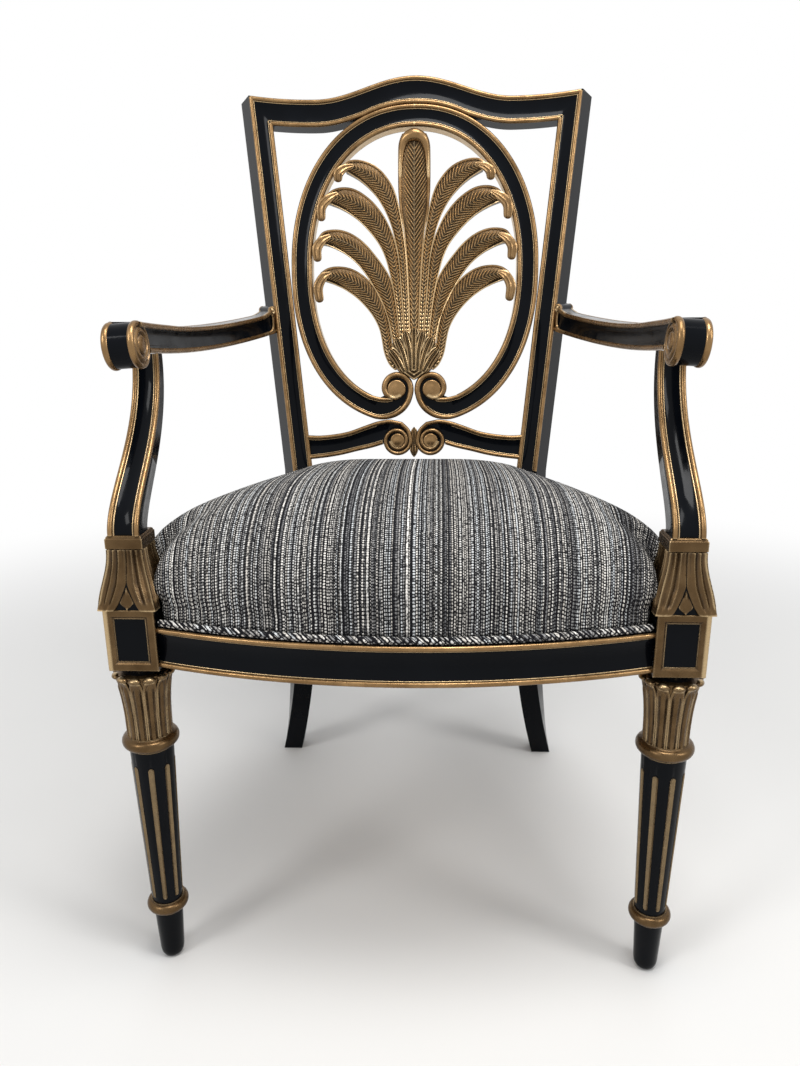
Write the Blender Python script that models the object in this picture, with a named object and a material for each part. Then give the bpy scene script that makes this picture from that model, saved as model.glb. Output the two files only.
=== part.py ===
"""Open armchair with an oval plume back: ebonised, parcel-gilt frame and an upholstered seat.

Metres, +Z up, and the sitter faces -Y. Left and right are as seen from the front. The chair's own
frame has y = 0 on the line of the front legs; the back frame stands on the raked face of the back,
with its z running up the slope and its y pointing into the wood. The chair_frame empty centres the
whole chair on the origin.
"""
import math

import bmesh
import bpy
from mathutils import Vector

# Fits
CLEARANCE = 0.0003
TENON_THICKNESS = 0.009
TENON_LENGTH = 0.014
TENON_SHOULDER = 0.008
TENON_WALL = 0.003
TENON_ROOT = 0.006
DOWEL_RADIUS = 0.004
DOWEL_LENGTH = 0.028
SCREW_RADIUS = 0.002
SCREW_HEAD_RADIUS = 0.004
SCREW_HEAD_HEIGHT = 0.0025
SCREW_SINK = 0.001

# Front legs
LEG_SPAN = 0.527
BLOCK_SIDE = 0.0504
BLOCK_BOTTOM = 0.358
BLOCK_HEIGHT = 0.0646
FOOT_RADIUS = 0.0115
FOOT_CHAMFER = 0.0025
ANKLE_RADIUS = 0.0155
LOWER_RING_HEIGHT = 0.0698
LOWER_RING_RADIUS = 0.0221
SHAFT_FOOT_RADIUS = 0.0162
SHAFT_TOP_RADIUS = 0.0224
UPPER_RING_HEIGHT = 0.2728
UPPER_RING_RADIUS = 0.0286
RING_BEAD = 0.007
CAPITAL_TOP = 0.3495
CAPITAL_NECK_RADIUS = 0.0219
CAPITAL_LIP_RADIUS = 0.0288
NECK_RADIUS = 0.021
LEG_SIDES = 24

# Seat frame
RAIL_HEIGHT = 0.0415
RAIL_LIFT = 0.0030
RAIL_THICKNESS = 0.024
RAIL_SET_BACK = 0.0052
RAIL_BOW = 0.038
SIDE_RAIL_SET_IN = 0.006
SIDE_RAIL_REAR_SET_IN = 0.003
CORNER_BLOCK_HEIGHT = 0.032
FRONT_BLOCK_REACH = 0.048
REAR_BLOCK_REACH = 0.052
CORNER_SCREW_LENGTH = 0.038
REAR_CORNER_SCREW_LENGTH = 0.027
CORNER_SCREW_SPREAD = 0.3
SEAT_SCREW_BITE = 0.008

# Back
SEAT_JOINT_Y = 0.372
BACK_FOOT_Y = 0.3835
BACK_FOOT_Z = 0.4742
BACK_RAKE = math.radians(8.81)
STILE_LENGTH = 0.5052
STILE_FOOT_X = 0.1723
STILE_TOP_X = 0.2233
STILE_FACE = 0.0285
POST_DEPTH = 0.033
POST_OUTER_SPLAY = 0.019
POST_UNDERCUT = 0.0065
POST_SEAT_X = 0.171
POST_JOINT_MARGIN = 0.018
REAR_FOOT_X = 0.2165
REAR_FOOT_Y = 0.433
REAR_FOOT_SIDE = 0.029
CREST_DEPTH = 0.026
CREST_BAND = 0.0352
CREST_PEAK_RISE = 0.0278
CREST_PEAK_HALF_WIDTH = 0.132
CREST_END_RISE = 0.0072
LOWER_RAIL_DEPTH = 0.024
LOWER_RAIL_TOP = 0.050
LOWER_RAIL_END_HEIGHT = 0.0335
LOWER_RAIL_SWELL_X = 0.036
LOWER_RAIL_SWELL_HALF_WIDTH = 0.090
LOWER_SCROLL_X = 0.0230
LOWER_SCROLL_HEIGHT = 0.0428
LOWER_SCROLL_RADIUS = 0.0212
LOWER_CLEFT_RISE = 0.010
LOWER_CLEFT_HALF_WIDTH = 0.016
LOWER_LIP_FALL = 0.0035
PENDANT_TIP = 0.0215
HOOP_DEPTH = 0.020
HOOP_FOOT = 0.066
HOOP_BAND = 0.0285
HOOP_FOOT_POWER = 2.28
HOOP_CROWN_POWER = 2.15
VOLUTE_X = 0.0230
VOLUTE_HEIGHT = 0.1167
VOLUTE_RADIUS = 0.0226
VOLUTE_SWEEP = 0.045

# Plume
FEATHER_FRONT = 0.001
FEATHER_THICKNESS = 0.012
FEATHER_GAP = 0.0008
FEATHER_DROP_HALF_WIDTH = 0.0055
CENTRE_FEATHER_HALF_WIDTH = 0.0193
SHEATH_CENTRE = 0.118
SHEATH_RADIUS = 0.062
SHEATH_HALF_ANGLE = math.radians(33)
SHEATH_FRONT = -0.004
SHEATH_DEPTH = 0.020
SIDE_FEATHERS = (
    # shares of the room in the hoop: root x, root rise, swing x, crown rise, tip x, tip rise,
    # half width, drop x, drop length
    (0.064, 0.564, 0.285, 0.929, 0.712, 0.809, 0.100, 0.021, 0.056),
    (0.121, 0.431, 0.413, 0.829, 0.861, 0.670, 0.107, 0.057, 0.086),
    (0.178, 0.325, 0.569, 0.614, 0.940, 0.494, 0.096, 0.007, 0.080),
    (0.228, 0.182, 0.626, 0.464, 0.940, 0.315, 0.103, 0.007, 0.083),
)
FEATHER_ROOT = 0.160
FEATHER_LEAN = 0.004

# Arms and their supports
ARM_WIDTH = 0.031
ARM_INNER_FRONT_X = 0.2455
ARM_BOW = 0.36
ARM_TOP = 0.679
ARM_THICKNESS = 0.0265
ARM_FRONT_RISE = 0.42
ARM_REAR_RISE = 0.29
ARM_UNDER_RISE = 0.27
ARM_LOW_POINT = 0.210
ARM_CURL = 0.011
ARM_CURL_START = 0.86
SCROLL_Y = 0.032
SCROLL_Z = 0.668
SCROLL_RADIUS = 0.0222
SCROLL_TILT = math.radians(4)
ARM_SCREW_LENGTH = 0.046
SUPPORT_WIDTH = 0.031
SUPPORT_TOP_WIDTH = 0.027
SUPPORT_TOP_SHIFT = 0.0028
SUPPORT_DEPTH = 0.028
SUPPORT_TOP_DEPTH = 0.015
SUPPORT_PEG = 0.010
SUPPORT_PEG_LENGTH = 0.016
CUP_HEIGHT = 0.058
CUP_NECK = 0.031
BAND_HEIGHT = 0.0135
BAND_SIDE = 0.036
SUPPORT_RISE_LOW = 0.040
SUPPORT_RISE_HIGH = 0.083
SUPPORT_SWEEP = 0.105
SUPPORT_SET_BACK = 0.002

# Upholstery
BOARD_THICKNESS = 0.012
BOARD_INSET = 0.016
COVER_THICKNESS = 0.0025
WELT_RADIUS = 0.0036
WELT_END_GAP = 0.002
SEAT_CROWN = 0.122
SEAT_BULGE_INSET = 0.0012
SEAT_BULGE_HEIGHT = 0.026
SEAT_CROWN_Y = 0.130
SEAT_REAR_FALL = 0.06
SEAT_REAR_OVERLAP = 0.016

SIDES = (("left", -1), ("right", 1))


def finish(name, colour, roughness, metallic=0.0):
    material = bpy.data.materials.new(name)
    material.use_nodes = True
    shader = material.node_tree.nodes["Principled BSDF"]
    shader.inputs["Base Color"].default_value = (*colour, 1.0)
    shader.inputs["Roughness"].default_value = roughness
    shader.inputs["Metallic"].default_value = metallic
    return material


def add_skin(bm, rings):
    """One closed skin through rings of equal length, capped flat at both ends."""
    loops = [[bm.verts.new(point) for point in ring] for ring in rings]
    for lower, upper in zip(loops, loops[1:]):
        for i in range(len(lower)):
            j = (i + 1) % len(lower)
            bm.faces.new((lower[i], lower[j], upper[j], upper[i]))
    bm.faces.new(loops[0])
    bm.faces.new(loops[-1])


def solid(name, skins, material, parent):
    bm = bmesh.new()
    for rings in skins:
        add_skin(bm, rings)
    bmesh.ops.recalc_face_normals(bm, faces=bm.faces)
    mesh = bpy.data.meshes.new(name)
    bm.to_mesh(mesh)
    bm.free()
    mesh.materials.append(material)
    mesh.shade_smooth()
    mesh.set_sharp_from_angle(angle=math.radians(32))
    obj = bpy.data.objects.new(name, mesh)
    obj.parent = parent
    bpy.context.scene.collection.objects.link(obj)
    return obj


def helper(name, skins, material, parent):
    obj = solid(name, skins, material, parent)
    obj.hide_render = True
    obj.display_type = "WIRE"
    return obj


def combine(obj, tool, operation):
    modifier = obj.modifiers.new(tool.name, "BOOLEAN")
    modifier.object = tool
    modifier.operation = operation
    modifier.solver = "EXACT"


def box(low, high):
    """Rings of an upright box."""
    return [
        [
            (low[0], low[1], z),
            (high[0], low[1], z),
            (high[0], high[1], z),
            (low[0], high[1], z),
        ]
        for z in (low[2], high[2])
    ]


def rod(start, axis, stations, sides=10):
    """Rings round an axis; stations are (distance along it, radius)."""
    axis = Vector(axis).normalized()
    across = axis.orthogonal().normalized()
    other = axis.cross(across)
    turns = [2 * math.pi * k / sides for k in range(sides)]
    return [
        [
            Vector(start) + axis * along + across * radius * math.cos(a) + other * radius * math.sin(a)
            for a in turns
        ]
        for along, radius in stations
    ]


def screw(head, axis, length, grow=0.0, reach=0.0):
    """A screw from the seat of its head; reach lengthens the head's end for a cutter."""
    shank = SCREW_RADIUS + grow
    cap = SCREW_HEAD_RADIUS + grow
    return rod(
        head,
        axis,
        (
            (-SCREW_HEAD_HEIGHT - reach, cap),
            (grow, cap),
            (grow, shank),
            (length - SCREW_RADIUS, shank),
            (length + grow, shank * 0.35 if grow == 0 else shank),
        ),
    )


def arc(centre, radius, start, end, count):
    """Points on a circle, with both ends, for angles in degrees."""
    angles = [math.radians(start + (end - start) * k / (count - 1)) for k in range(count)]
    return [(centre[0] + radius * math.cos(a), centre[1] + radius * math.sin(a)) for a in angles]


def bezier(points, t):
    """A point on the curve that the control points steer."""
    points = [Vector(p) for p in points]
    while len(points) > 1:
        points = [a.lerp(b, t) for a, b in zip(points, points[1:])]
    return points[0]


def bell(distance, half_width):
    """A smooth swell from 1 at its middle to 0 at half_width."""
    if abs(distance) >= half_width:
        return 0.0
    return 0.5 + 0.5 * math.cos(math.pi * distance / half_width)


def smooth_step(t):
    t = min(max(t, 0.0), 1.0)
    return t * t * (3 - 2 * t)


for stale in list(bpy.data.objects):
    bpy.data.objects.remove(stale, do_unlink=True)

EBONY = finish("ebonised_wood", (0.012, 0.013, 0.016), 0.18)
GILT = finish("gilt_wood", (0.55, 0.36, 0.13), 0.42, 0.85)
BEECH = finish("seat_frame_wood", (0.42, 0.27, 0.15), 0.6)
PLY = finish("plywood", (0.55, 0.40, 0.24), 0.65)
FOAM = finish("seat_foam", (0.80, 0.74, 0.55), 0.95)
CLOTH = finish("striped_fabric", (0.20, 0.20, 0.21), 0.95)
STEEL = finish("screw_steel", (0.50, 0.49, 0.46), 0.35, 1.0)

LEG_X = LEG_SPAN / 2
BLOCK_INNER_X = LEG_X - BLOCK_SIDE / 2
BLOCK_TOP = BLOCK_BOTTOM + BLOCK_HEIGHT
RAIL_BOTTOM = BLOCK_BOTTOM + RAIL_LIFT
RAIL_TOP = RAIL_BOTTOM + RAIL_HEIGHT
RAIL_END_Y = RAIL_SET_BACK - BLOCK_SIDE / 2
RAIL_FRONT_Y = RAIL_END_Y - RAIL_BOW
STILE_RISE = (STILE_TOP_X - STILE_FOOT_X) / STILE_LENGTH
HOOP_TOP = STILE_LENGTH - CREST_END_RISE + CREST_PEAK_RISE - CREST_BAND - CLEARANCE
HOOP_CENTRE = (HOOP_TOP + HOOP_FOOT) / 2
HOOP_HALF_HEIGHT = (HOOP_TOP - HOOP_FOOT) / 2
BACK_REAR_Y = (
    BACK_FOOT_Y + STILE_LENGTH * math.sin(BACK_RAKE) + POST_DEPTH * math.cos(BACK_RAKE)
)

chair = bpy.data.objects.new("chair_frame", None)
chair.location.y = -(RAIL_FRONT_Y + BACK_REAR_Y) / 2
bpy.context.scene.collection.objects.link(chair)

back = bpy.data.objects.new("back_frame", None)
back.parent = chair
back.location = (0, BACK_FOOT_Y, BACK_FOOT_Z)
back.rotation_euler.x = -BACK_RAKE
bpy.context.scene.collection.objects.link(back)


def from_back(x, depth, rise):
    """A point of the back frame in the chair's frame."""
    return Vector(
        (
            x,
            BACK_FOOT_Y + rise * math.sin(BACK_RAKE) + depth * math.cos(BACK_RAKE),
            BACK_FOOT_Z + rise * math.cos(BACK_RAKE) - depth * math.sin(BACK_RAKE),
        )
    )


def prism(outline, front, rear, grow_rear=lambda x: x):
    """An outline of the back's face carried into the wood."""
    return [
        [(x, front, z) for x, z in outline],
        [(grow_rear(x), rear, z) for x, z in outline],
    ]


# Front legs: a square block over a turned capital, shaft and foot


def leg_profile():
    """Radius and height of the turning, floor to block."""
    foot_top = LOWER_RING_HEIGHT - RING_BEAD
    shaft_foot = LOWER_RING_HEIGHT + RING_BEAD
    shaft_top = UPPER_RING_HEIGHT - RING_BEAD
    capital_foot = UPPER_RING_HEIGHT + RING_BEAD
    capital = CAPITAL_TOP - capital_foot
    flare = CAPITAL_LIP_RADIUS - CAPITAL_NECK_RADIUS
    profile = [(FOOT_RADIUS - FOOT_CHAMFER, 0.0), (FOOT_RADIUS, FOOT_CHAMFER), (ANKLE_RADIUS, foot_top)]
    profile += ring_profile(LOWER_RING_HEIGHT, LOWER_RING_RADIUS, ANKLE_RADIUS, SHAFT_FOOT_RADIUS)
    profile += [(SHAFT_FOOT_RADIUS, shaft_foot), (SHAFT_TOP_RADIUS, shaft_top)]
    profile += ring_profile(UPPER_RING_HEIGHT, UPPER_RING_RADIUS, SHAFT_TOP_RADIUS, CAPITAL_NECK_RADIUS)
    for k in range(7):
        t = k / 6
        profile.append((CAPITAL_NECK_RADIUS + flare * t**2.6, capital_foot + capital * t))
    profile.append((NECK_RADIUS, CAPITAL_TOP))
    return profile


def ring_profile(height, radius, below, above):
    """A half-round bead standing out of the turning."""
    points = []
    for k in range(1, 6):
        a = math.pi * (k / 6 - 0.5)
        root = below if a < 0 else above
        points.append((root + (radius - root) * math.cos(a), height + RING_BEAD * math.sin(a)))
    return points


def turned_ring(side, radius, z):
    turns = [2 * math.pi * k / LEG_SIDES for k in range(LEG_SIDES)]
    return [(side * LEG_X + radius * math.cos(a), radius * math.sin(a), z) for a in turns]


def square_ring(side, half, z):
    """As many points as a turned ring, on a square."""
    points = []
    for k in range(LEG_SIDES):
        a = 2 * math.pi * k / LEG_SIDES
        reach = half / max(abs(math.cos(a)), abs(math.sin(a)))
        points.append((side * LEG_X + reach * math.cos(a), reach * math.sin(a), z))
    return points


def front_leg(name, side):
    rings = [turned_ring(side, radius, z) for radius, z in leg_profile()]
    rings.append(turned_ring(side, NECK_RADIUS, BLOCK_BOTTOM))
    rings.append(square_ring(side, BLOCK_SIDE / 2, BLOCK_BOTTOM))
    rings.append(square_ring(side, BLOCK_SIDE / 2, BLOCK_TOP))
    leg = solid("front_leg_" + name, [rings], EBONY, chair)
    holes = [
        front_rail_tenon(side, CLEARANCE),
        side_rail_tenon(side, BLOCK_SIDE / 2, -1, CLEARANCE),
        support_foot_peg(side, CLEARANCE),
    ]
    combine(leg, helper("front_leg_mortises_" + name, holes, EBONY, chair), "DIFFERENCE")


# Seat rails, tenoned into the leg blocks and the rear posts


def bow_y(x, inset=0.0):
    """The front rail's face in plan, an arc between the leg blocks; inset moves it inwards."""
    half = BLOCK_INNER_X
    radius = (half**2 + RAIL_BOW**2) / (2 * RAIL_BOW)
    return RAIL_FRONT_Y + radius - math.sqrt((radius - inset) ** 2 - x**2)


def front_rail_tenon(side, grow=0.0):
    middle = (bow_y(BLOCK_INNER_X) + bow_y(BLOCK_INNER_X, RAIL_THICKNESS)) / 2
    ends = sorted((side * (BLOCK_INNER_X - TENON_ROOT), side * (BLOCK_INNER_X + TENON_LENGTH + grow)))
    half = TENON_THICKNESS / 2 + grow
    low = (ends[0], middle - half, RAIL_BOTTOM + TENON_SHOULDER - grow)
    high = (ends[1], middle + half, RAIL_TOP - TENON_SHOULDER + grow)
    return box(low, high)


def front_seat_rail():
    half = BLOCK_INNER_X - CLEARANCE
    rings = []
    for k in range(25):
        x = half * (k / 12 - 1)
        front = bow_y(x)
        rear = bow_y(x, RAIL_THICKNESS)
        rings.append(
            [(x, front, RAIL_BOTTOM), (x, front, RAIL_TOP), (x, rear, RAIL_TOP), (x, rear, RAIL_BOTTOM)]
        )
    rail = solid("front_seat_rail", [rings], EBONY, chair)
    tenons = [front_rail_tenon(side) for _, side in SIDES]
    combine(rail, helper("front_rail_tenons", tenons, EBONY, chair), "UNION")
    return rail


def side_rail_x(y, inward=0.0):
    """The side rail's outer face in plan, from the leg block to the rear post; inward moves it in."""
    start = BLOCK_SIDE / 2
    front = LEG_X + BLOCK_SIDE / 2 - SIDE_RAIL_SET_IN
    rear = POST_SEAT_X - SIDE_RAIL_REAR_SET_IN
    return front + (rear - front) * (y - start) / (SEAT_JOINT_Y - start) - inward


def side_rail_tenon(side, shoulder_y, direction, grow=0.0):
    middle = side * side_rail_x(shoulder_y, RAIL_THICKNESS / 2)
    half = TENON_THICKNESS / 2 + grow
    ends = sorted(
        (shoulder_y - direction * TENON_ROOT, shoulder_y + direction * (TENON_LENGTH + grow))
    )
    low = (middle - half, ends[0], RAIL_BOTTOM + TENON_SHOULDER - grow)
    high = (middle + half, ends[1], RAIL_TOP - TENON_SHOULDER + grow)
    return box(low, high)


def side_seat_rail(name, side):
    front = BLOCK_SIDE / 2 + CLEARANCE
    rear = SEAT_JOINT_Y - CLEARANCE
    rings = []
    for y in (front, rear):
        outer = side * side_rail_x(y)
        inner = side * side_rail_x(y, RAIL_THICKNESS)
        rings.append(
            [(outer, y, RAIL_BOTTOM), (outer, y, RAIL_TOP), (inner, y, RAIL_TOP), (inner, y, RAIL_BOTTOM)]
        )
    rail = solid("side_seat_rail_" + name, [rings], EBONY, chair)
    tenons = [
        side_rail_tenon(side, BLOCK_SIDE / 2, -1),
        side_rail_tenon(side, SEAT_JOINT_Y, 1),
    ]
    combine(rail, helper("side_rail_tenons_" + name, tenons, EBONY, chair), "UNION")
    return rail


def rear_rail_ys():
    """Faces of the rear rail, whose tenon passes behind the side rail's in the post."""
    middle = SEAT_JOINT_Y + TENON_LENGTH + TENON_WALL + TENON_THICKNESS / 2
    return middle - RAIL_THICKNESS / 2, middle + RAIL_THICKNESS / 2


def rear_rail_tenon(side, grow=0.0):
    middle = sum(rear_rail_ys()) / 2
    half = TENON_THICKNESS / 2 + grow
    inner = post_inner_x(middle)
    ends = sorted((side * (inner - TENON_ROOT), side * (inner + TENON_LENGTH + grow)))
    low = (ends[0], middle - half, RAIL_BOTTOM + TENON_SHOULDER - grow)
    high = (ends[1], middle + half, RAIL_TOP - TENON_SHOULDER + grow)
    return box(low, high)


def post_inner_x(y):
    """The post's undercut inner side at the seat."""
    return POST_SEAT_X - STILE_FACE + POST_UNDERCUT * (y - SEAT_JOINT_Y) / POST_DEPTH


def rear_seat_rail():
    front, rear = rear_rail_ys()
    rings = []
    for z in (RAIL_BOTTOM, RAIL_TOP):
        near = post_inner_x(front) - CLEARANCE
        far = post_inner_x(rear) - CLEARANCE
        rings.append([(-near, front, z), (near, front, z), (far, rear, z), (-far, rear, z)])
    rail = solid("rear_seat_rail", [rings], EBONY, chair)
    tenons = [rear_rail_tenon(side) for _, side in SIDES]
    combine(rail, helper("rear_rail_tenons", tenons, EBONY, chair), "UNION")
    return rail


# Rear posts: sabre leg and raked stile in one piece


def post_section(side, x, y, z, face, depth, undercut, splay):
    """A level section from its front outer corner: front face, then the wider rear."""
    return [
        (side * (x - face), y, z),
        (side * x, y, z),
        (side * (x + splay), y + depth, z),
        (side * (x - face + undercut), y + depth, z),
    ]


def post_rings(side):
    """Sections of the post from the floor to the crest."""
    joint_low = RAIL_BOTTOM - POST_JOINT_MARGIN
    joint_high = RAIL_TOP + POST_JOINT_MARGIN
    rings = []
    for k in range(7):
        z = joint_low * k / 6
        sweep = (1 - k / 6) ** 2
        rings.append(
            post_section(
                side,
                POST_SEAT_X + (REAR_FOOT_X - POST_SEAT_X) * sweep,
                SEAT_JOINT_Y + (REAR_FOOT_Y - SEAT_JOINT_Y) * sweep,
                z,
                STILE_FACE + (REAR_FOOT_SIDE - STILE_FACE) * sweep,
                POST_DEPTH + (REAR_FOOT_SIDE - POST_DEPTH) * sweep,
                POST_UNDERCUT * (1 - sweep),
                POST_OUTER_SPLAY * (1 - sweep),
            )
        )
    sizes = (STILE_FACE, POST_DEPTH, POST_UNDERCUT, POST_OUTER_SPLAY)
    rings.append(post_section(side, POST_SEAT_X, SEAT_JOINT_Y, joint_high, *sizes))
    for rise in (0.0, STILE_LENGTH):
        outer = stile_outer_x(rise)
        corners = (
            (outer - STILE_FACE, 0.0),
            (outer, 0.0),
            (outer + POST_OUTER_SPLAY, POST_DEPTH),
            (outer - STILE_FACE + POST_UNDERCUT, POST_DEPTH),
        )
        rings.append([from_back(side * x, depth, rise) for x, depth in corners])
    return rings


def stile_outer_x(rise):
    return STILE_FOOT_X + STILE_RISE * rise


def stile_inner_x(rise, depth=0.0):
    return stile_outer_x(rise) - STILE_FACE + POST_UNDERCUT * depth / POST_DEPTH


def rear_post(name, side):
    post = solid("rear_post_" + name, [post_rings(side)], EBONY, chair)
    seat_holes = [
        side_rail_tenon(side, SEAT_JOINT_Y, 1, CLEARANCE),
        rear_rail_tenon(side, CLEARANCE),
        arm_screw(side, CLEARANCE),
    ]
    combine(post, helper("post_seat_mortises_" + name, seat_holes, EBONY, chair), "DIFFERENCE")
    back_holes = [lower_rail_tenon(side, CLEARANCE)]
    back_holes += [crest_dowel(side, rise, CLEARANCE) for rise in crest_dowel_rises()]
    combine(post, helper("post_back_mortises_" + name, back_holes, EBONY, back), "DIFFERENCE")


# Crest rail, dowelled between the stiles


def crest_top(x):
    x = abs(x)
    low = STILE_LENGTH - CREST_END_RISE
    if x < CREST_PEAK_HALF_WIDTH:
        return low + CREST_PEAK_RISE * bell(x, CREST_PEAK_HALF_WIDTH)
    run = (x - CREST_PEAK_HALF_WIDTH) / (STILE_TOP_X - CREST_PEAK_HALF_WIDTH)
    return low + CREST_END_RISE * run**2


def crest_under(x):
    """The lower edge keeps the band's width, and clears the hoop that it rests on."""
    hoop = hoop_rise(x) + CLEARANCE if abs(x) < hoop_half_width() else 0.0
    return max(crest_top(x) - CREST_BAND, hoop)


def crest_dowel_rises():
    middle = crest_top(STILE_TOP_X - STILE_FACE) - CREST_BAND / 2
    return middle - CREST_BAND / 4, middle + CREST_BAND / 4


def crest_dowel(side, rise, grow=0.0):
    middle = stile_inner_x(rise, CREST_DEPTH / 2)
    half = DOWEL_LENGTH / 2 + grow
    start = (side * (middle - half), CREST_DEPTH / 2, rise)
    return rod(start, (side, 0, 0), ((0.0, DOWEL_RADIUS + grow), (2 * half, DOWEL_RADIUS + grow)))


def crest_rail():
    count = 24
    top = []
    under = []
    for k in range(2 * count + 1):
        t = k / count - 1
        end = stile_inner_x(crest_top(stile_inner_x(STILE_LENGTH))) - CLEARANCE
        foot = stile_inner_x(crest_under(stile_inner_x(STILE_LENGTH - CREST_BAND))) - CLEARANCE
        top.append((t * end, crest_top(t * end)))
        under.append((t * foot, crest_under(t * foot)))
    outline = top + under[::-1]
    ends = max(x for x, _ in under)

    def follow_undercut(x):
        if abs(x) < ends - 1e-6:
            return x
        return x + math.copysign(POST_UNDERCUT * CREST_DEPTH / POST_DEPTH, x)

    rail = solid("crest_rail", [prism(outline, 0.0, CREST_DEPTH, follow_undercut)], EBONY, back)
    holes = []
    for name, side in SIDES:
        for number, rise in enumerate(crest_dowel_rises(), 1):
            holes.append(crest_dowel(side, rise, CLEARANCE))
            solid(f"crest_dowel_{name}_{number}", [crest_dowel(side, rise)], BEECH, back)
    combine(rail, helper("crest_dowel_holes", holes, EBONY, back), "DIFFERENCE")


# Lower back rail: two cyma halves that curl into scrolls with a small pendant between them


def lower_rail_tenon(side, grow=0.0):
    middle = LOWER_RAIL_TOP - LOWER_RAIL_END_HEIGHT / 2
    half = LOWER_RAIL_END_HEIGHT / 2 - TENON_SHOULDER + grow
    inner = stile_inner_x(middle, LOWER_RAIL_DEPTH / 2)
    ends = sorted((side * (inner - TENON_ROOT), side * (inner + TENON_LENGTH + grow)))
    front = (LOWER_RAIL_DEPTH - TENON_THICKNESS) / 2 - grow
    low = (ends[0], front, middle - half)
    high = (ends[1], front + TENON_THICKNESS + 2 * grow, middle + half)
    return box(low, high)


def lower_rail_rise(x):
    """Top edge of the right half, swelling up to carry the hoop."""
    seat_x, seat = volute_sweep_centre()
    seat -= VOLUTE_SWEEP + CLEARANCE
    swell = (seat - LOWER_RAIL_TOP) / bell(seat_x - LOWER_RAIL_SWELL_X, LOWER_RAIL_SWELL_HALF_WIDTH)
    return LOWER_RAIL_TOP + swell * bell(x - LOWER_RAIL_SWELL_X, LOWER_RAIL_SWELL_HALF_WIDTH)


def lower_rail_half():
    """The right half's outline, from the middle of the top round to the middle of the bottom."""
    scroll = (LOWER_SCROLL_X, LOWER_SCROLL_HEIGHT)
    shoulder = LOWER_RAIL_SWELL_X
    crown = lower_rail_rise(shoulder)
    end = LOWER_RAIL_TOP - LOWER_RAIL_END_HEIGHT
    points = [(0.0, LOWER_SCROLL_HEIGHT + LOWER_CLEFT_RISE)]
    points += arc(scroll, LOWER_SCROLL_RADIUS, 158, 128, 4)
    lip = (LOWER_CLEFT_HALF_WIDTH + shoulder) / 2
    points.append((LOWER_CLEFT_HALF_WIDTH, crown - LOWER_LIP_FALL))
    top_x = stile_inner_x(LOWER_RAIL_TOP) - CLEARANCE
    for k in range(13):
        x = lip + (top_x - lip) * k / 12
        points.append((x, lower_rail_rise(x)))
    foot = (stile_inner_x(end) - CLEARANCE, end)
    meet = (LOWER_SCROLL_X + LOWER_SCROLL_RADIUS, LOWER_SCROLL_HEIGHT - LOWER_SCROLL_RADIUS / 5)
    for k in range(8):
        steer = (foot[0] * 0.63, end + LOWER_RAIL_END_HEIGHT / 6)
        points.append(tuple(bezier((foot, steer, meet), k / 7)))
    points += arc(scroll, LOWER_SCROLL_RADIUS, -28, -138, 9)
    points.append((0.0, PENDANT_TIP))
    return points


def lower_back_rail():
    half = lower_rail_half()
    outline = half + [(-x, z) for x, z in half[-2:0:-1]]
    ends = stile_inner_x(LOWER_RAIL_TOP - LOWER_RAIL_END_HEIGHT) - CLEARANCE

    def follow_undercut(x):
        if abs(x) < ends - 1e-6:
            return x
        return x + math.copysign(POST_UNDERCUT * LOWER_RAIL_DEPTH / POST_DEPTH, x)

    rail = solid("lower_back_rail", [prism(outline, 0.0, LOWER_RAIL_DEPTH, follow_undercut)], EBONY, back)
    tenons = [lower_rail_tenon(side) for _, side in SIDES]
    combine(rail, helper("lower_rail_tenons", tenons, EBONY, back), "UNION")


# Oval hoop in two halves, each ending in a volute at the bottom


def hoop_power(above):
    return HOOP_CROWN_POWER if above else HOOP_FOOT_POWER


def hoop_shape(rise, inset=0.0):
    """Share of the hoop's half width left at a height."""
    lift = min(abs(rise - HOOP_CENTRE) / (HOOP_HALF_HEIGHT - inset), 1.0)
    power = hoop_power(rise > HOOP_CENTRE)
    return (1 - lift**power) ** (1 / power)


def hoop_inner_x(rise):
    return (hoop_half_width() - HOOP_BAND) * hoop_shape(rise, HOOP_BAND)


def hoop_half_width():
    """The hoop fills the room between the leaning stiles."""
    steps = [HOOP_CENTRE + HOOP_HALF_HEIGHT * (k / 40 - 0.5) for k in range(41)]
    return min((stile_inner_x(rise) - CLEARANCE) / hoop_shape(rise) for rise in steps)


def hoop_rise(x):
    """Top of the hoop's outer edge over a place across the back."""
    share = min(abs(x) / hoop_half_width(), 1.0)
    return HOOP_CENTRE + HOOP_HALF_HEIGHT * (1 - share**HOOP_CROWN_POWER) ** (1 / HOOP_CROWN_POWER)


def hoop_point(angle, inset):
    """A point of the oval at an angle from straight up, set in from its outer edge."""
    power = 2 / hoop_power(math.cos(angle) > 0)
    x = (hoop_half_width() - inset) * math.sin(angle) ** power
    lift = abs(math.cos(angle)) ** power
    z = HOOP_CENTRE + math.copysign((HOOP_HALF_HEIGHT - inset) * lift, math.cos(angle))
    return x, z


def volute_sweep_centre():
    """Centre of the curve that carries the hoop's outer edge up into its volute."""
    return VOLUTE_X - VOLUTE_RADIUS + CLEARANCE + VOLUTE_SWEEP, VOLUTE_HEIGHT


def hoop_outline():
    """The right half: down the outer edge, round the volute and back up the inner edge."""
    sweep = volute_sweep_centre()
    tail = math.radians(164)
    count = 26
    outer = [hoop_point(tail * k / count, 0.0) for k in range(count + 1)]
    inner = [hoop_point(math.radians(161) * k / count, HOOP_BAND) for k in range(count + 1)]
    outer[0] = (CLEARANCE, outer[0][1])
    inner[0] = (CLEARANCE, inner[0][1])
    volute = arc((VOLUTE_X, VOLUTE_HEIGHT), VOLUTE_RADIUS - CLEARANCE, 180, -20, 15)
    return outer + arc(sweep, VOLUTE_SWEEP, -92, -176, 8) + volute + inner[::-1]


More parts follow.
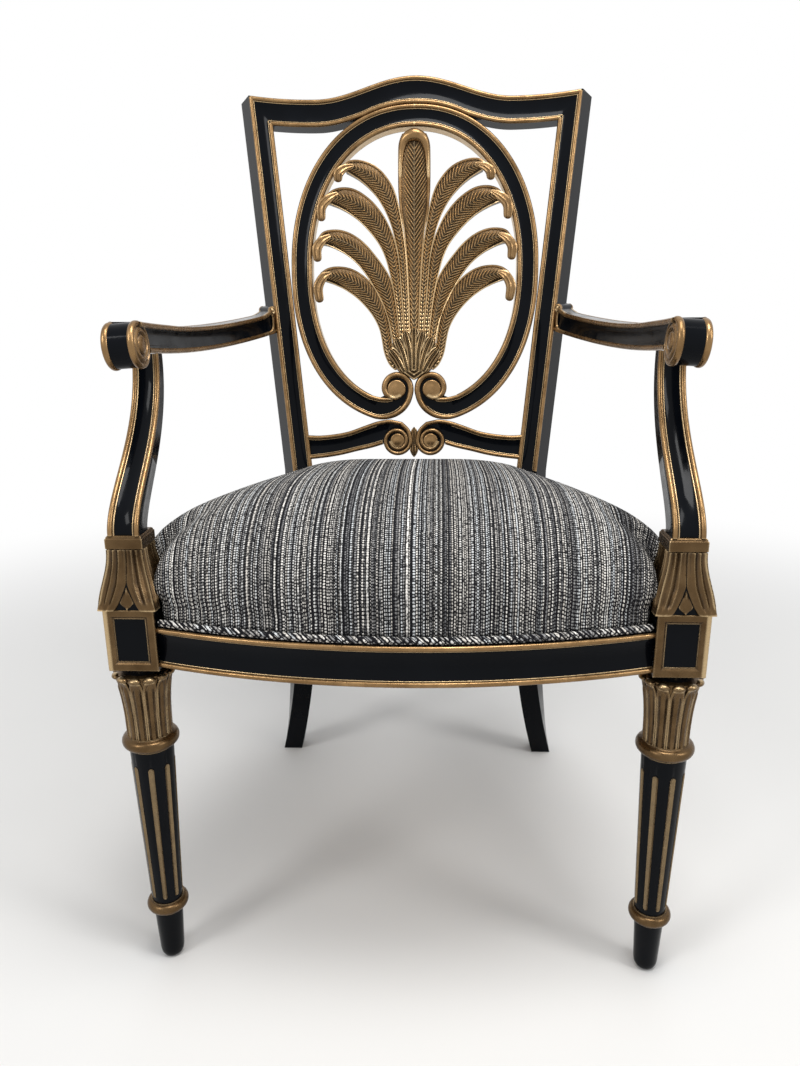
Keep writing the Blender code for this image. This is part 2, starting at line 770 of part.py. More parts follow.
def oval_hoop(name, side):
    outline = [(side * x, z) for x, z in hoop_outline()]
    solid("oval_hoop_" + name, [prism(outline, 0.0, HOOP_DEPTH)], EBONY, back)


# Plume: a centre feather and four to each side, rooted in a leafy sheath


def plume_room():
    """Half width and height of the room in the hoop, above the feathers' roots."""
    return hoop_half_width() - HOOP_BAND, HOOP_TOP - HOOP_BAND - FEATHER_ROOT


def feather_path(values, t):
    root_x, root_rise, swing_x, crown_rise, tip_x, tip_rise = values[:6]
    width, height = plume_room()
    steer = (
        (root_x * width, FEATHER_ROOT),
        (root_x * width + FEATHER_LEAN, FEATHER_ROOT + root_rise * height),
        (swing_x * width, FEATHER_ROOT + crown_rise * height),
        (tip_x * width, FEATHER_ROOT + tip_rise * height),
    )
    return bezier(steer, t)


def feather_width(half_width, t):
    """Half width along a feather: a narrow root, a full vane and a rounded tip."""
    vane = 0.24 + 0.76 * smooth_step((t - 0.12) / 0.52)
    tip = max((t - 0.86) / 0.14, 0.0)
    return half_width * vane * math.sqrt(1 - 0.86 * tip**2)


def room(start, direction, edge):
    """Distance along a direction to the nearest crossing of a neighbour's edge."""
    nearest = 1.0
    for a, b in zip(edge, edge[1:]):
        along = Vector(b) - Vector(a)
        offset = Vector(a) - start
        turn = direction.cross(along)
        if abs(turn) < 1e-12:
            continue
        distance = offset.cross(along) / turn
        place = offset.cross(direction) / turn
        if distance > 0 and -0.05 <= place <= 1.05:
            nearest = min(nearest, distance)
    return nearest


def centre_feather_edge():
    """The right edge of the upright feather, root to top."""
    base = SHEATH_CENTRE + SHEATH_RADIUS + CLEARANCE
    top_rise = HOOP_TOP - HOOP_BAND - FEATHER_GAP
    points = []
    for k in range(15):
        t = k / 14
        rise = base + (top_rise - base) * t
        swell = 0.23 + 0.77 * smooth_step((t - 0.22) / 0.50)
        top = max((t - 0.88) / 0.12, 0.0)
        points.append((CENTRE_FEATHER_HALF_WIDTH * swell * math.sqrt(1 - 0.84 * top**2), rise))
    return points


def feather_start(values):
    """Share of a feather's path that the sheath hides."""
    low = 0.0
    high = 1.0
    for _ in range(40):
        t = (low + high) / 2
        hidden = (feather_path(values, t) - Vector((0.0, SHEATH_CENTRE))).length < SHEATH_RADIUS
        low, high = (t, high) if hidden else (low, t)
    return high


def on_sheath(corner, ahead):
    """A root corner slid along its feather to the rim of the sheath."""
    offset = corner - Vector((0.0, SHEATH_CENTRE))
    along = offset.dot(ahead)
    rim = SHEATH_RADIUS + CLEARANCE
    return corner + ahead * (math.sqrt(along**2 - offset.length_squared + rim**2) - along)


def side_feather_edges(values, neighbour):
    """Inner and outer edges of a right-hand feather, kept clear of the feather inside it."""
    inner = []
    outer = []
    start = feather_start(values)
    count = 20
    for k in range(count + 1):
        t = start + (1 - start) * k / count
        middle = feather_path(values, t)
        ahead = feather_path(values, min(t + 0.01, 1.0)) - feather_path(values, max(t - 0.01, 0.0))
        ahead.normalize()
        across = Vector((-ahead.y, ahead.x))
        half = feather_width(values[6] * plume_room()[0], t)
        reach = min(half, room(middle, across, neighbour) - FEATHER_GAP)
        near = middle + across * reach
        near.x = min(near.x, hoop_inner_x(near.y) - FEATHER_GAP)
        far = middle - across * half
        inner.append(near if k else on_sheath(near, ahead))
        outer.append(far if k else on_sheath(far, ahead))
    return inner, outer


def feather_drop(values):
    """The curled end that hangs from a right-hand feather's tip and rests on the hoop."""
    tip = feather_path(values, 1.0)
    width, height = plume_room()
    lean = values[7] * width
    length = values[8] * height
    half = FEATHER_DROP_HALF_WIDTH
    shape = ((lean + half, 0.6), (lean, 1.0), (lean - half, 0.75), (lean - half * 1.2, 0.3))
    points = []
    for x, share in shape:
        rise = tip.y - length * share
        points.append((min(tip.x + x, hoop_inner_x(rise) - FEATHER_GAP), rise))
    return points


def plume():
    rear = FEATHER_FRONT + FEATHER_THICKNESS
    edge = centre_feather_edge()
    outline = edge + [(-x, z) for x, z in edge[::-1]]
    solid("feather_centre", [prism(outline, FEATHER_FRONT, rear)], GILT, back)
    for number, values in enumerate(SIDE_FEATHERS, 1):
        inner, edge = side_feather_edges(values, edge)
        for name, side in SIDES:
            outline = [(side * x, z) for x, z in inner + feather_drop(values) + edge[::-1]]
            solid(f"feather_{name}_{number}", [prism(outline, FEATHER_FRONT, rear)], GILT, back)


def plume_sheath():
    centre = (0.0, SHEATH_CENTRE)
    spread = math.degrees(SHEATH_HALF_ANGLE)
    top = arc(centre, SHEATH_RADIUS, 90 - spread, 90 + spread, 13)
    left = arc((-VOLUTE_X, VOLUTE_HEIGHT), VOLUTE_RADIUS + CLEARANCE, 96, 36, 6)
    right = [(-x, z) for x, z in left[::-1]]
    outline = top + left + right
    rear = SHEATH_FRONT + SHEATH_DEPTH
    solid("plume_sheath", [prism(outline, SHEATH_FRONT, rear)], GILT, back)


# Arms: a slender bar from a front scroll to the side of the rear post


def arm_face_x(y, outward):
    """Inner face of the arm in plan, bowed outwards, and faces outward of it."""
    return ARM_INNER_FRONT_X - ARM_BOW * (y - SCROLL_Y) ** 2 + outward


def arm_top(y):
    rise = ARM_FRONT_RISE if y < ARM_LOW_POINT else ARM_REAR_RISE
    return ARM_TOP + rise * (y - ARM_LOW_POINT) ** 2


def arm_under(y):
    return ARM_TOP - ARM_THICKNESS + ARM_UNDER_RISE * (y - ARM_LOW_POINT) ** 2


def arm_end_y(z, outward):
    """Where a face of the arm meets the outer side of the stile, short by the clearance."""
    low = from_back(stile_outer_x(0.0), 0.0, 0.0)
    up = from_back(stile_outer_x(STILE_LENGTH), 0.0, STILE_LENGTH) - low
    across = from_back(stile_outer_x(0.0) + POST_OUTER_SPLAY, POST_DEPTH, 0.0) - low
    normal = across.cross(up).normalized()
    if normal.x < 0:
        normal = -normal
    near = SCROLL_Y
    far = BACK_REAR_Y + ARM_WIDTH
    for _ in range(50):
        y = (near + far) / 2
        outside = normal.dot(Vector((arm_face_x(y, outward), y, z)) - low) > CLEARANCE
        near, far = (y, far) if outside else (near, y)
    return near


def arm_rings(side):
    """Sections of the arm, from inside the scroll to the cut against the stile."""
    end = arm_end_y(ARM_TOP, 0.0)
    tip = arm_top(end) + ARM_CURL
    foot = arm_under(end)
    low = SCROLL_Z - SCROLL_RADIUS * 0.4
    high = SCROLL_Z + SCROLL_RADIUS * 0.97
    rings = [arm_section(side, (SCROLL_Y,) * 4, low, high)]
    start = SCROLL_Y + SCROLL_RADIUS * 0.6
    ends = (
        arm_end_y(foot, 0.0),
        arm_end_y(tip, 0.0),
        arm_end_y(tip, ARM_WIDTH),
        arm_end_y(foot, ARM_WIDTH),
    )
    count = 18
    for k in range(count + 1):
        t = k / count
        y = start + (end - start) * t
        top = arm_top(y) + ARM_CURL * max((t - ARM_CURL_START) / (1 - ARM_CURL_START), 0.0) ** 1.6
        ys = [start + (far - start) * t for far in ends]
        rings.append(arm_section(side, ys, arm_under(y), top))
    return rings


def arm_section(side, ys, under, top):
    """Inner under, inner top, outer top and outer under corners."""
    faces = (0.0, 0.0, ARM_WIDTH, ARM_WIDTH)
    heights = (under, top, top, under)
    return [(side * arm_face_x(y, outward), y, z) for y, outward, z in zip(ys, faces, heights)]


def arm_screw_place():
    """Head seat of the screw that holds the arm, inside the post's inner face."""
    height = ARM_TOP - ARM_THICKNESS * 0.2
    rise = (height - BACK_FOOT_Z) / math.cos(BACK_RAKE)
    depth = POST_DEPTH * 0.5
    seat = from_back(stile_inner_x(rise, depth), depth, rise)
    seat.x += SCREW_HEAD_HEIGHT + SCREW_SINK
    return seat


def arm_screw(side, grow=0.0):
    seat = arm_screw_place()
    head = (side * seat.x, seat.y, seat.z)
    return screw(head, (side, 0, 0), ARM_SCREW_LENGTH, grow, SCREW_SINK * 4 if grow else 0.0)


def arm(name, side):
    bar = solid("arm_" + name, [arm_rings(side)], EBONY, chair)
    start = (side * ARM_INNER_FRONT_X, SCROLL_Y, SCROLL_Z)
    axis = (side * math.cos(SCROLL_TILT), 0, -math.sin(SCROLL_TILT))
    drum = rod(start, axis, ((0.0, SCROLL_RADIUS), (ARM_WIDTH, SCROLL_RADIUS)), LEG_SIDES)
    combine(bar, helper("arm_scroll_" + name, [drum], EBONY, chair), "UNION")
    holes = [arm_screw(side, CLEARANCE), support_top_peg(side, CLEARANCE)]
    combine(bar, helper("arm_holes_" + name, holes, EBONY, chair), "DIFFERENCE")
    solid("arm_screw_" + name, [arm_screw(side)], STEEL, chair)


# Arm supports: a leafy cup on the leg block, a band and a shaft swept back to the arm


def support_peg(x, y, shoulder_z, grow=0.0):
    """Square peg through a shoulder, half above it and half below."""
    half = SUPPORT_PEG / 2 + grow
    reach = SUPPORT_PEG_LENGTH / 2 + grow
    return box((x - half, y - half, shoulder_z - reach), (x + half, y + half, shoulder_z + reach))


def support_foot_peg(side, grow=0.0):
    return support_peg(side * LEG_X, 0.0, BLOCK_TOP, grow)


def support_top_peg(side, grow=0.0):
    inner, outer = support_sides(1.0)
    y = support_front(1.0).x + SUPPORT_TOP_DEPTH / 2
    return support_peg(side * (inner + outer) / 2, y, arm_under(y), grow)


def support_sides(t):
    """Inner and outer sides of the shaft, which narrows as it rises."""
    inner = LEG_X - SUPPORT_WIDTH / 2 + SUPPORT_TOP_SHIFT * t
    return inner, inner + SUPPORT_WIDTH + (SUPPORT_TOP_WIDTH - SUPPORT_WIDTH) * t


def support_front(t):
    """Front face of the swept shaft, in y and z."""
    start = (SUPPORT_SET_BACK - BAND_SIDE / 2, BLOCK_TOP + CUP_HEIGHT + BAND_HEIGHT)
    end_y = start[0] + SUPPORT_SWEEP
    end = (end_y, arm_under(end_y) - CLEARANCE)
    steer_low = (start[0], start[1] + SUPPORT_RISE_LOW)
    steer_high = (end[0], end[1] - SUPPORT_RISE_HIGH)
    return bezier((start, steer_low, steer_high, end), t)


def support_section(side, inner, outer, front, rear):
    """Four corners from the sides in x and the front and rear in y and z."""
    return [
        (side * inner, *front),
        (side * outer, *front),
        (side * outer, *rear),
        (side * inner, *rear),
    ]


def arm_support(name, side):
    base = BLOCK_TOP + CLEARANCE
    neck = BLOCK_TOP + CUP_HEIGHT
    rings = []
    for k in range(7):
        t = k / 6
        half = (CUP_NECK + (BLOCK_SIDE - CUP_NECK) * (1 - smooth_step(t)) ** 1.1) / 2
        z = base + (neck - base) * t
        rings.append(support_section(side, LEG_X - half, LEG_X + half, (-half, z), (half, z)))
    half = BAND_SIDE / 2
    for z in (neck, neck + BAND_HEIGHT):
        rings.append(support_section(side, LEG_X - half, LEG_X + half, (-half, z), (half, z)))
    count = 14
    for k in range(count + 1):
        t = k / count
        front = support_front(t)
        ahead = support_front(min(t + 0.01, 1.0)) - support_front(max(t - 0.01, 0.0))
        ahead.normalize()
        depth = SUPPORT_DEPTH + (SUPPORT_TOP_DEPTH - SUPPORT_DEPTH) * t
        rear = front + Vector((ahead.y, -ahead.x)) * depth
        if k == count:
            rear.y = arm_under(rear.x) - CLEARANCE
        rings.append(support_section(side, *support_sides(t), front, rear))
    support = solid("arm_support_" + name, [rings], EBONY, chair)
    pegs = [support_foot_peg(side), support_top_peg(side)]
    combine(support, helper("support_pegs_" + name, pegs, EBONY, chair), "UNION")


# Corner blocks, screwed to the rails and up into the seat board


def front_block_plan(side):
    inner = BLOCK_INNER_X - CLEARANCE
    behind = BLOCK_SIDE / 2 + CLEARANCE
    start = inner - FRONT_BLOCK_REACH
    end = behind + FRONT_BLOCK_REACH
    gap = RAIL_THICKNESS + CLEARANCE
    points = [
        (start, bow_y(start, gap)),
        (inner, bow_y(inner, gap)),
        (inner, behind),
        (side_rail_x(behind, gap), behind),
        (side_rail_x(end, gap), end),
    ]
    return [(side * x, y) for x, y in points]


def rear_block_plan(side):
    face = SEAT_JOINT_Y - CLEARANCE
    rail = rear_rail_ys()[0] - CLEARANCE
    gap = RAIL_THICKNESS + CLEARANCE
    corner = POST_SEAT_X - STILE_FACE - CLEARANCE
    end = face - REAR_BLOCK_REACH
    points = [
        (corner - REAR_BLOCK_REACH, rail),
        (corner, rail),
        (corner, face),
        (max(side_rail_x(face, gap), corner + CLEARANCE), face),
        (side_rail_x(end, gap), end),
    ]
    return [(side * x, y) for x, y in points]


def block_screws(plan, length, grow=0.0):
    """Two screws square to the long face, and one straight up into the seat board."""
    a = Vector(plan[-1])
    b = Vector(plan[0])
    corner = Vector(plan[2])
    along = b - a
    axis = Vector((-along.y, along.x)).normalized()
    if axis.dot(corner - a) < 0:
        axis = -axis
    reach = SCREW_SINK * 4 if grow else 0.0
    height = RAIL_TOP - CORNER_BLOCK_HEIGHT / 2
    screws = []
    for share in (0.5 - CORNER_SCREW_SPREAD, 0.5 + CORNER_SCREW_SPREAD):
        face = a + along * share + axis * (SCREW_HEAD_HEIGHT + SCREW_SINK)
        head = (face.x, face.y, height)
        screws.append(screw(head, (axis.x, axis.y, 0), length, grow, reach))
    middle = a + along * 0.5
    middle += (corner - middle) * 0.38
    sole = RAIL_TOP - CORNER_BLOCK_HEIGHT + SCREW_HEAD_HEIGHT + SCREW_SINK
    rise = RAIL_TOP + SEAT_SCREW_BITE - sole
    screws.append(screw((middle.x, middle.y, sole), (0, 0, 1), rise, grow, reach))
    return screws


def corner_blocks(rails, board):
    tools = []
    corners = (
        ("front", front_block_plan, CORNER_SCREW_LENGTH),
        ("rear", rear_block_plan, REAR_CORNER_SCREW_LENGTH),
    )
    for place, plan_of, length in corners:
        for name, side in SIDES:
            plan = plan_of(side)
            heights = (RAIL_TOP - CORNER_BLOCK_HEIGHT, RAIL_TOP)
            rings = [[(x, y, z) for x, y in plan] for z in heights]
            block = solid(f"corner_block_{place}_{name}", [rings], BEECH, chair)
            tool = helper(f"screw_holes_{place}_{name}", block_screws(plan, length, CLEARANCE), BEECH, chair)
            combine(block, tool, "DIFFERENCE")
            tools.append((place, name, tool))
            labels = ("corner_screw_1", "corner_screw_2", "seat_screw")
            for label, rings in zip(labels, block_screws(plan, length)):
                solid(f"{label}_{place}_{name}", [rings], STEEL, chair)
    for place, name, tool in tools:
        combine(rails[place], tool, "DIFFERENCE")
        combine(rails[name], tool, "DIFFERENCE")
        combine(board, tool, "DIFFERENCE")


# Upholstered seat: board, foam, cover and welts


def seat_plan(inset):
    """The seat's outline, set in from the rails' outer faces and clear of the legs and posts."""
    gap = inset if inset > CLEARANCE else CLEARANCE
    inner = BLOCK_INNER_X - CLEARANCE - 0.2 * inset
    behind = BLOCK_SIDE / 2 + CLEARANCE + 0.2 * inset
    face = SEAT_JOINT_Y - CLEARANCE - 0.2 * inset
    post = POST_SEAT_X - STILE_FACE - CLEARANCE - 0.2 * inset
    rear = rear_rail_ys()[0] + SEAT_REAR_OVERLAP - gap * 0.5
    right = [(inner * k / 7, bow_y(inner * k / 7, gap)) for k in range(8)]
    right += [(inner, behind)]
    for k in range(6):
        y = behind + (face - behind) * k / 5
        right.append((side_rail_x(y, gap), y))
    right += [(post, face), (post, rear), (post / 2, rear), (0.0, rear)]
    return right + [(-x, y) for x, y in right[-2:0:-1]]


def smooth_plan(inset):
    """The same outline with its notches filled, for the crown."""
    points = []
    for x, y in seat_plan(inset):
        side = side_rail_x(min(max(y, 0.0), SEAT_JOINT_Y), inset)
        if y < BLOCK_SIDE / 2 + inset and abs(x) > BLOCK_INNER_X * 0.9:
            x = math.copysign((side + abs(x)) / 2, x)
        points.append((x, y))
    return points


def seat_dome(inset, base):
    """Rings of the padded seat, crown first: crowned, bulged below that, drawn in at the welt."""
    waist = seat_plan(2 * WELT_RADIUS + 3 * CLEARANCE + inset)
    bulge = seat_plan(SEAT_BULGE_INSET + inset)
    filled = smooth_plan(SEAT_BULGE_INSET + inset)
    welt_top = RAIL_TOP + 2 * WELT_RADIUS + 4 * CLEARANCE
    rings = [[(x, y, z) for x, y in waist] for z in sorted({base, max(base, welt_top)})]
    shoulder = welt_top + SEAT_BULGE_HEIGHT - inset
    mid = (welt_top + shoulder) / 2
    rings.append([((x + u) / 2, (y + v) / 2, mid) for (x, y), (u, v) in zip(waist, bulge)])
    crown = RAIL_TOP + SEAT_CROWN - shoulder - inset
    for k in range(10):
        r = math.cos(math.radians(88.5) * k / 9) ** 0.72
        lift = (1 - r**3) ** (1 / 2.2)
        ring = []
        for (x, y), (u, v) in zip(bulge, filled):
            keep = r**3
            x = r * (x * keep + u * (1 - keep))
            y = SEAT_CROWN_Y + r * (y * keep + v * (1 - keep) - SEAT_CROWN_Y)
            fall = SEAT_REAR_FALL * max(y - SEAT_CROWN_Y, 0.0) * lift
            ring.append((x, y, shoulder + crown * lift - fall))
        rings.append(ring)
    return rings[::-1]


def seat_board():
    floor = RAIL_TOP + CLEARANCE
    rings = [[(x, y, z) for x, y in seat_plan(BOARD_INSET)] for z in (floor, floor + BOARD_THICKNESS)]
    return solid("seat_board", [rings], PLY, chair)


def seat_padding():
    lining = COVER_THICKNESS + CLEARANCE
    solid("seat_foam", [seat_dome(lining, RAIL_TOP + BOARD_THICKNESS + 2 * CLEARANCE)], FOAM, chair)
    edge = RAIL_TOP + CLEARANCE
    shell = seat_dome(COVER_THICKNESS, edge) + seat_dome(0.0, edge)[::-1]
    solid("seat_cover", [shell], CLOTH, chair)


def tube(path, radius, sides=8):
    """A level welt along a path in plan, resting on the rails."""
    z = RAIL_TOP + CLEARANCE + radius
    rings = []
    for k, (x, y) in enumerate(path):
        before = Vector(path[max(k - 1, 0)])
        after = Vector(path[min(k + 1, len(path) - 1)])
        ahead = (after - before).normalized()
        across = Vector((ahead.y, -ahead.x))
        ring = []
        for n in range(sides):
            a = 2 * math.pi * (n + 0.5) / sides
            out = across * radius * math.cos(a)
            ring.append((x + out.x, y + out.y, z + radius * math.sin(a)))
        rings.append(ring)
    return rings


def seat_welts():
    inset = WELT_RADIUS + CLEARANCE
    half = BLOCK_INNER_X - WELT_END_GAP
    front = [(half * (k / 10 - 1), bow_y(half * (k / 10 - 1), inset)) for k in range(21)]
    solid("seat_welt_front", [tube(front, WELT_RADIUS)], CLOTH, chair)
    for name, side in SIDES:
        path = []
        start = BLOCK_SIDE / 2 + WELT_END_GAP
        end = SEAT_JOINT_Y - WELT_END_GAP
        for k in range(7):
            y = start + (end - start) * k / 6
            path.append((side * side_rail_x(y, inset), y))
        solid("seat_welt_" + name, [tube(path, WELT_RADIUS)], CLOTH, chair)


for name, side in SIDES:
    front_leg(name, side)
    rear_post(name, side)
    oval_hoop(name, side)
    arm(name, side)
    arm_support(name, side)

seat_rails = {"front": front_seat_rail(), "rear": rear_seat_rail()}
seat_rails.update({name: side_seat_rail(name, side) for name, side in SIDES})
corner_blocks(seat_rails, seat_board())
crest_rail()
lower_back_rail()
plume()
plume_sheath()
seat_padding()
seat_welts()
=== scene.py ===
"""Looks of the open armchair with an oval plume back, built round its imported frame."""
from math import copysign, cos, exp, pi, radians, sin, sqrt
from types import SimpleNamespace as Sizes

import bmesh
import bpy
from mathutils import Matrix, Vector


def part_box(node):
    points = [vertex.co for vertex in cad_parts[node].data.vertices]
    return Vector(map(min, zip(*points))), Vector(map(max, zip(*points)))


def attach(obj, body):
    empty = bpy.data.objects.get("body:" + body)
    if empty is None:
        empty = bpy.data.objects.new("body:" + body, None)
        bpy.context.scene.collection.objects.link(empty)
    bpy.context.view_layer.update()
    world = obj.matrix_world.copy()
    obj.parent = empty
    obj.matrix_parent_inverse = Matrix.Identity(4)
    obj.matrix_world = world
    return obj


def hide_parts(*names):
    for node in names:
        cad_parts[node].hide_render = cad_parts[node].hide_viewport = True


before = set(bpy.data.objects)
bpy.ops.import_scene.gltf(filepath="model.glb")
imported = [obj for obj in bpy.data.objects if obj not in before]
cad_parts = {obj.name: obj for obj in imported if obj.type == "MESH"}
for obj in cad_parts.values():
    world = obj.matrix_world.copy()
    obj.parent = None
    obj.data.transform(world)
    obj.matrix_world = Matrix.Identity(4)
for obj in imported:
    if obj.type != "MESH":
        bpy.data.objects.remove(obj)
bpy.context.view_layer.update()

# Camera: held at about shoulder height close in front of the chair and turned down towards the seat,
# so the legs draw together below. Its numbers were fitted to the chair's own lines.
leg_low, leg_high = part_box("front_leg_right")
leg_x = (leg_low.x + leg_high.x) / 2
leg_y = (leg_low.y + leg_high.y) / 2


def placed(name, data):
    """A new object in the scene."""
    made = bpy.data.objects.new(name, data)
    bpy.context.scene.collection.objects.link(made)
    return made


lens_place = Vector((0.0327, leg_y - 0.734, 0.7051))
sensor = 36.0
focal_pixels, picture_height = 805.3, 1066
yaw, pitch, roll = (radians(a) for a in (2.7307, 16.0582, -0.5135))
level = Vector((cos(yaw), sin(yaw), 0))
ahead = Vector((-sin(yaw) * cos(pitch), cos(yaw) * cos(pitch), -sin(pitch)))
above = level.cross(ahead)
lens_right = level * cos(roll) + above * sin(roll)
lens_up = above * cos(roll) - level * sin(roll)
camera = placed("camera", bpy.data.cameras.new("camera"))
lens_turn = Matrix((lens_right, lens_up, -ahead)).transposed().to_4x4()
camera.matrix_world = Matrix.Translation(lens_place) @ lens_turn
camera.data.sensor_width = sensor
camera.data.lens = sensor * focal_pixels / picture_height
camera.data.clip_start = 0.02
bpy.context.scene.camera = camera

# Front legs: turned and fluted beech under a square block, in blue-black gloss lacquer. The rings,
# the petals of the capital, the hollows of the flutes and the block's panel frames are gilded, in a darker
# copy of the gilding that is painted shade. Block, capital, shaft and foot are one stick; the flutes are cut
# after turning.
leg_block = Sizes(side=0.0504, bottom=0.358, top=0.4226, frame=0.0075, sink=0.0024)
leg_shaft = Sizes(foot=(0.0162, 0.0768), top=(0.0224, 0.2658))
leg_flute = Sizes(count=8, first=radians(-77.5), half_angle=0.122, low=0.083, high=0.247, depth=0.0017)
leg_capital = Sizes(count=12, low=0.2790, high=0.3495, neck=0.0222, lip=0.0290)
sides = (("left", -1), ("right", 1))
square = ((-1, -1), (1, -1), (1, 1), (-1, 1))


def shader_of(name):
    """A new material with its node tree and its main shader."""
    material = bpy.data.materials.new(name)
    material.use_nodes = True
    tree = material.node_tree
    return material, tree, tree.nodes["Principled BSDF"]


def set_inputs(tree, node, **inputs):
    """Sets a node's inputs by name or number; a value that is a socket is linked."""
    for key, value in inputs.items():
        socket = node.inputs[int(key[1:]) if key[1:].isdigit() else key.replace("_", " ")]
        if isinstance(value, bpy.types.NodeSocket):
            tree.links.new(value, socket)
        else:
            socket.default_value = value


def add_node(tree, kind, settings=None, **inputs):
    node = tree.nodes.new(kind)
    for key, value in (settings or {}).items():
        setattr(node, key, value)
    set_inputs(tree, node, **inputs)
    return node


def maths(tree, operation, *values):
    node = add_node(tree, "ShaderNodeMath", {"operation": operation})
    set_inputs(tree, node, **{f"i{n}": value for n, value in enumerate(values)})
    return node.outputs[0]


def blended(tree, share, under, over):
    return add_node(tree, "ShaderNodeMix", {"data_type": "RGBA"}, i0=share, i6=under, i7=over).outputs[2]


def raised(tree, height, strength, distance):
    sizes = {"Strength": strength, "Distance": distance}
    return add_node(tree, "ShaderNodeBump", None, Height=height, **sizes).outputs[0]


def add_ramp(tree, factor, stops):
    """A colour ramp; stops are (place, red, green, blue)."""
    node = add_node(tree, "ShaderNodeValToRGB", None, i0=factor)
    ramp = node.color_ramp
    while len(ramp.elements) < len(stops):
        ramp.elements.new(1.0)
    for element, (place, *colour) in zip(ramp.elements, stops):
        element.position = place
        element.color = (*colour, 1.0)
    return node.outputs["Color"]


def grain(tree, scale, detail=3.0, stretch=(1, 1, 1)):
    """Noise that stays on the piece."""
    place = add_node(tree, "ShaderNodeTexCoord").outputs["Object"]
    mapped = add_node(tree, "ShaderNodeMapping", None, Vector=place, Scale=stretch).outputs["Vector"]
    return add_node(tree, "ShaderNodeTexNoise", None, Vector=mapped, Scale=scale, Detail=detail).outputs[0]


def span(tree, factor, low, high, start=0.0, end=1.0):
    return add_node(tree, "ShaderNodeMapRange", None, i0=factor, i1=start, i2=end, i3=low, i4=high).outputs[0]


def black_lacquer():
    material, tree, shader = shader_of("blue_black_lacquer")
    stops = [(0.3, 0.0014, 0.0019, 0.0030), (0.75, 0.0028, 0.0037, 0.0055)]
    set_inputs(
        tree,
        shader,
        Base_Color=add_ramp(tree, grain(tree, 14.0), stops),
        Roughness=span(tree, grain(tree, 55.0), 0.10, 0.22, 0.3, 0.7),
        Normal=raised(tree, grain(tree, 260.0, 2.0, (1, 1, 0.25)), 0.05, 0.0004),
        Specular_IOR_Level=0.05,
        Coat_Weight=0.06,
        Coat_Roughness=0.04,
    )
    return material


def old_gilding(name, tone, rubbed_and_highlight_tone):
    """Gold leaf over umber, rubbed through in random patches. The hollows are darkened from ambient occlusion
    as painted shade, and thin edges are brightened as rubbed leaf and painted highlight. tone 1 is clean
    leaf; lower and higher tones make shaded and lit copies.
    """
    material, tree, shader = shader_of(name)

    def shelter(distance, inside=False):
        settings = {"samples": 6, "inside": inside, "only_local": True}
        return add_node(tree, "ShaderNodeAmbientOcclusion", settings, Distance=distance).outputs["AO"]

    # Painted shade: ambient occlusion, mixed with random rubbing, turns the hollows from leaf to dark umber
    # (shown is the share of leaf left).
    rubbing_and_shade = maths(tree, "MULTIPLY_ADD", grain(tree, 130.0, 4.0), 0.45, shelter(0.005))
    shown = span(tree, rubbing_and_shade, 0.0, 1.0, 0.62, 1.12)
    stops = [(0.3, 0.185, 0.106, 0.043), (0.7, 0.315, 0.192, 0.086)]
    gold = add_ramp(tree, grain(tree, 45.0), [(place, *(tone * c for c in leaf)) for place, *leaf in stops])
    # Painted highlight: thin edges and ridges, found by occlusion inside the wood, are brightened to pale
    # gold, standing partly for rubbed leaf.
    worn_and_highlit = span(tree, shelter(0.0022, inside=True), 0.6, 0.0, 0.35, 0.75)
    gold = blended(tree, worn_and_highlit, gold, (0.58 * rubbed_and_highlight_tone, 0.43 * rubbed_and_highlight_tone, 0.24 * rubbed_and_highlight_tone, 1.0))
    set_inputs(
        tree,
        shader,
        Base_Color=blended(tree, shown, (0.022, 0.012, 0.005, 1.0), gold),
        Metallic=span(tree, shown, 0.25, 0.9),
        Roughness=span(tree, grain(tree, 210.0), 0.20, 0.42, 0.3, 0.7),
        Normal=raised(tree, grain(tree, 420.0, 3.0), 0.12, 0.0006),
    )
    return material


lacquer = black_lacquer()
gilding = old_gilding("old_gilding", 0.95, 1.15)
# The legs' gilding is a darker copy: painted shade.
shaded_leg_gilding = old_gilding("old_gilding_on_legs", 0.42, 1.3)
# The flutes' hollows take a still darker copy: painted shade.
shaded_flute_gilding = old_gilding("old_gilding_in_flutes", 0.50, 0.50)


def add_skin(bm, rings, closed=False):
    """A skin through rings of equal length, capped at both ends unless it runs round on itself."""
    loops = [[bm.verts.new(point) for point in ring] for ring in rings]
    for near, far in zip(loops, loops[1:] + loops[:1] if closed else loops[1:]):
        for i in range(len(near)):
            j = (i + 1) % len(near)
            bm.faces.new((near[i], near[j], far[j], far[i]))
    if not closed:
        bm.faces.new(loops[0])
        bm.faces.new(loops[-1])


def mesh_of(bm, name):
    bmesh.ops.recalc_face_normals(bm, faces=bm.faces)
    mesh = bpy.data.meshes.new(name)
    bm.to_mesh(mesh)
    bm.free()
    return mesh


def skin_of(rings, name="skin"):
    bm = bmesh.new()
    add_skin(bm, rings)
    return mesh_of(bm, name)


def put_in_place(form, name, finish, slot, *stands_for):
    """A finished form, a mesh or a bmesh, as a piece of the chair."""
    mesh = form if isinstance(form, bpy.types.Mesh) else mesh_of(form, name)
    mesh.materials.clear()
    mesh.materials.append(finish)
    mesh.shade_smooth()
    mesh.set_sharp_from_angle(angle=radians(42))
    piece = placed(name, mesh)
    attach(piece, "root")
    if stands_for:
        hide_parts(*stands_for)


def lacquered(form, name, *stands_for):
    put_in_place(form, name, lacquer, "ebonised_wood", *stands_for)


def gilded(form, name, *stands_for, finish=gilding):
    put_in_place(form, name, finish, "gilt_wood", *stands_for)


def turns(count):
    return [2 * pi * k / count for k in range(count)]


def circle(centre, radius, z, count):
    return [(centre[0] + radius * cos(a), centre[1] + radius * sin(a), z) for a in turns(count)]


def turned(bm, centre, profile, count=64, closed=False):
    add_skin(bm, [circle(centre, radius, z, count) for radius, z in profile], closed)


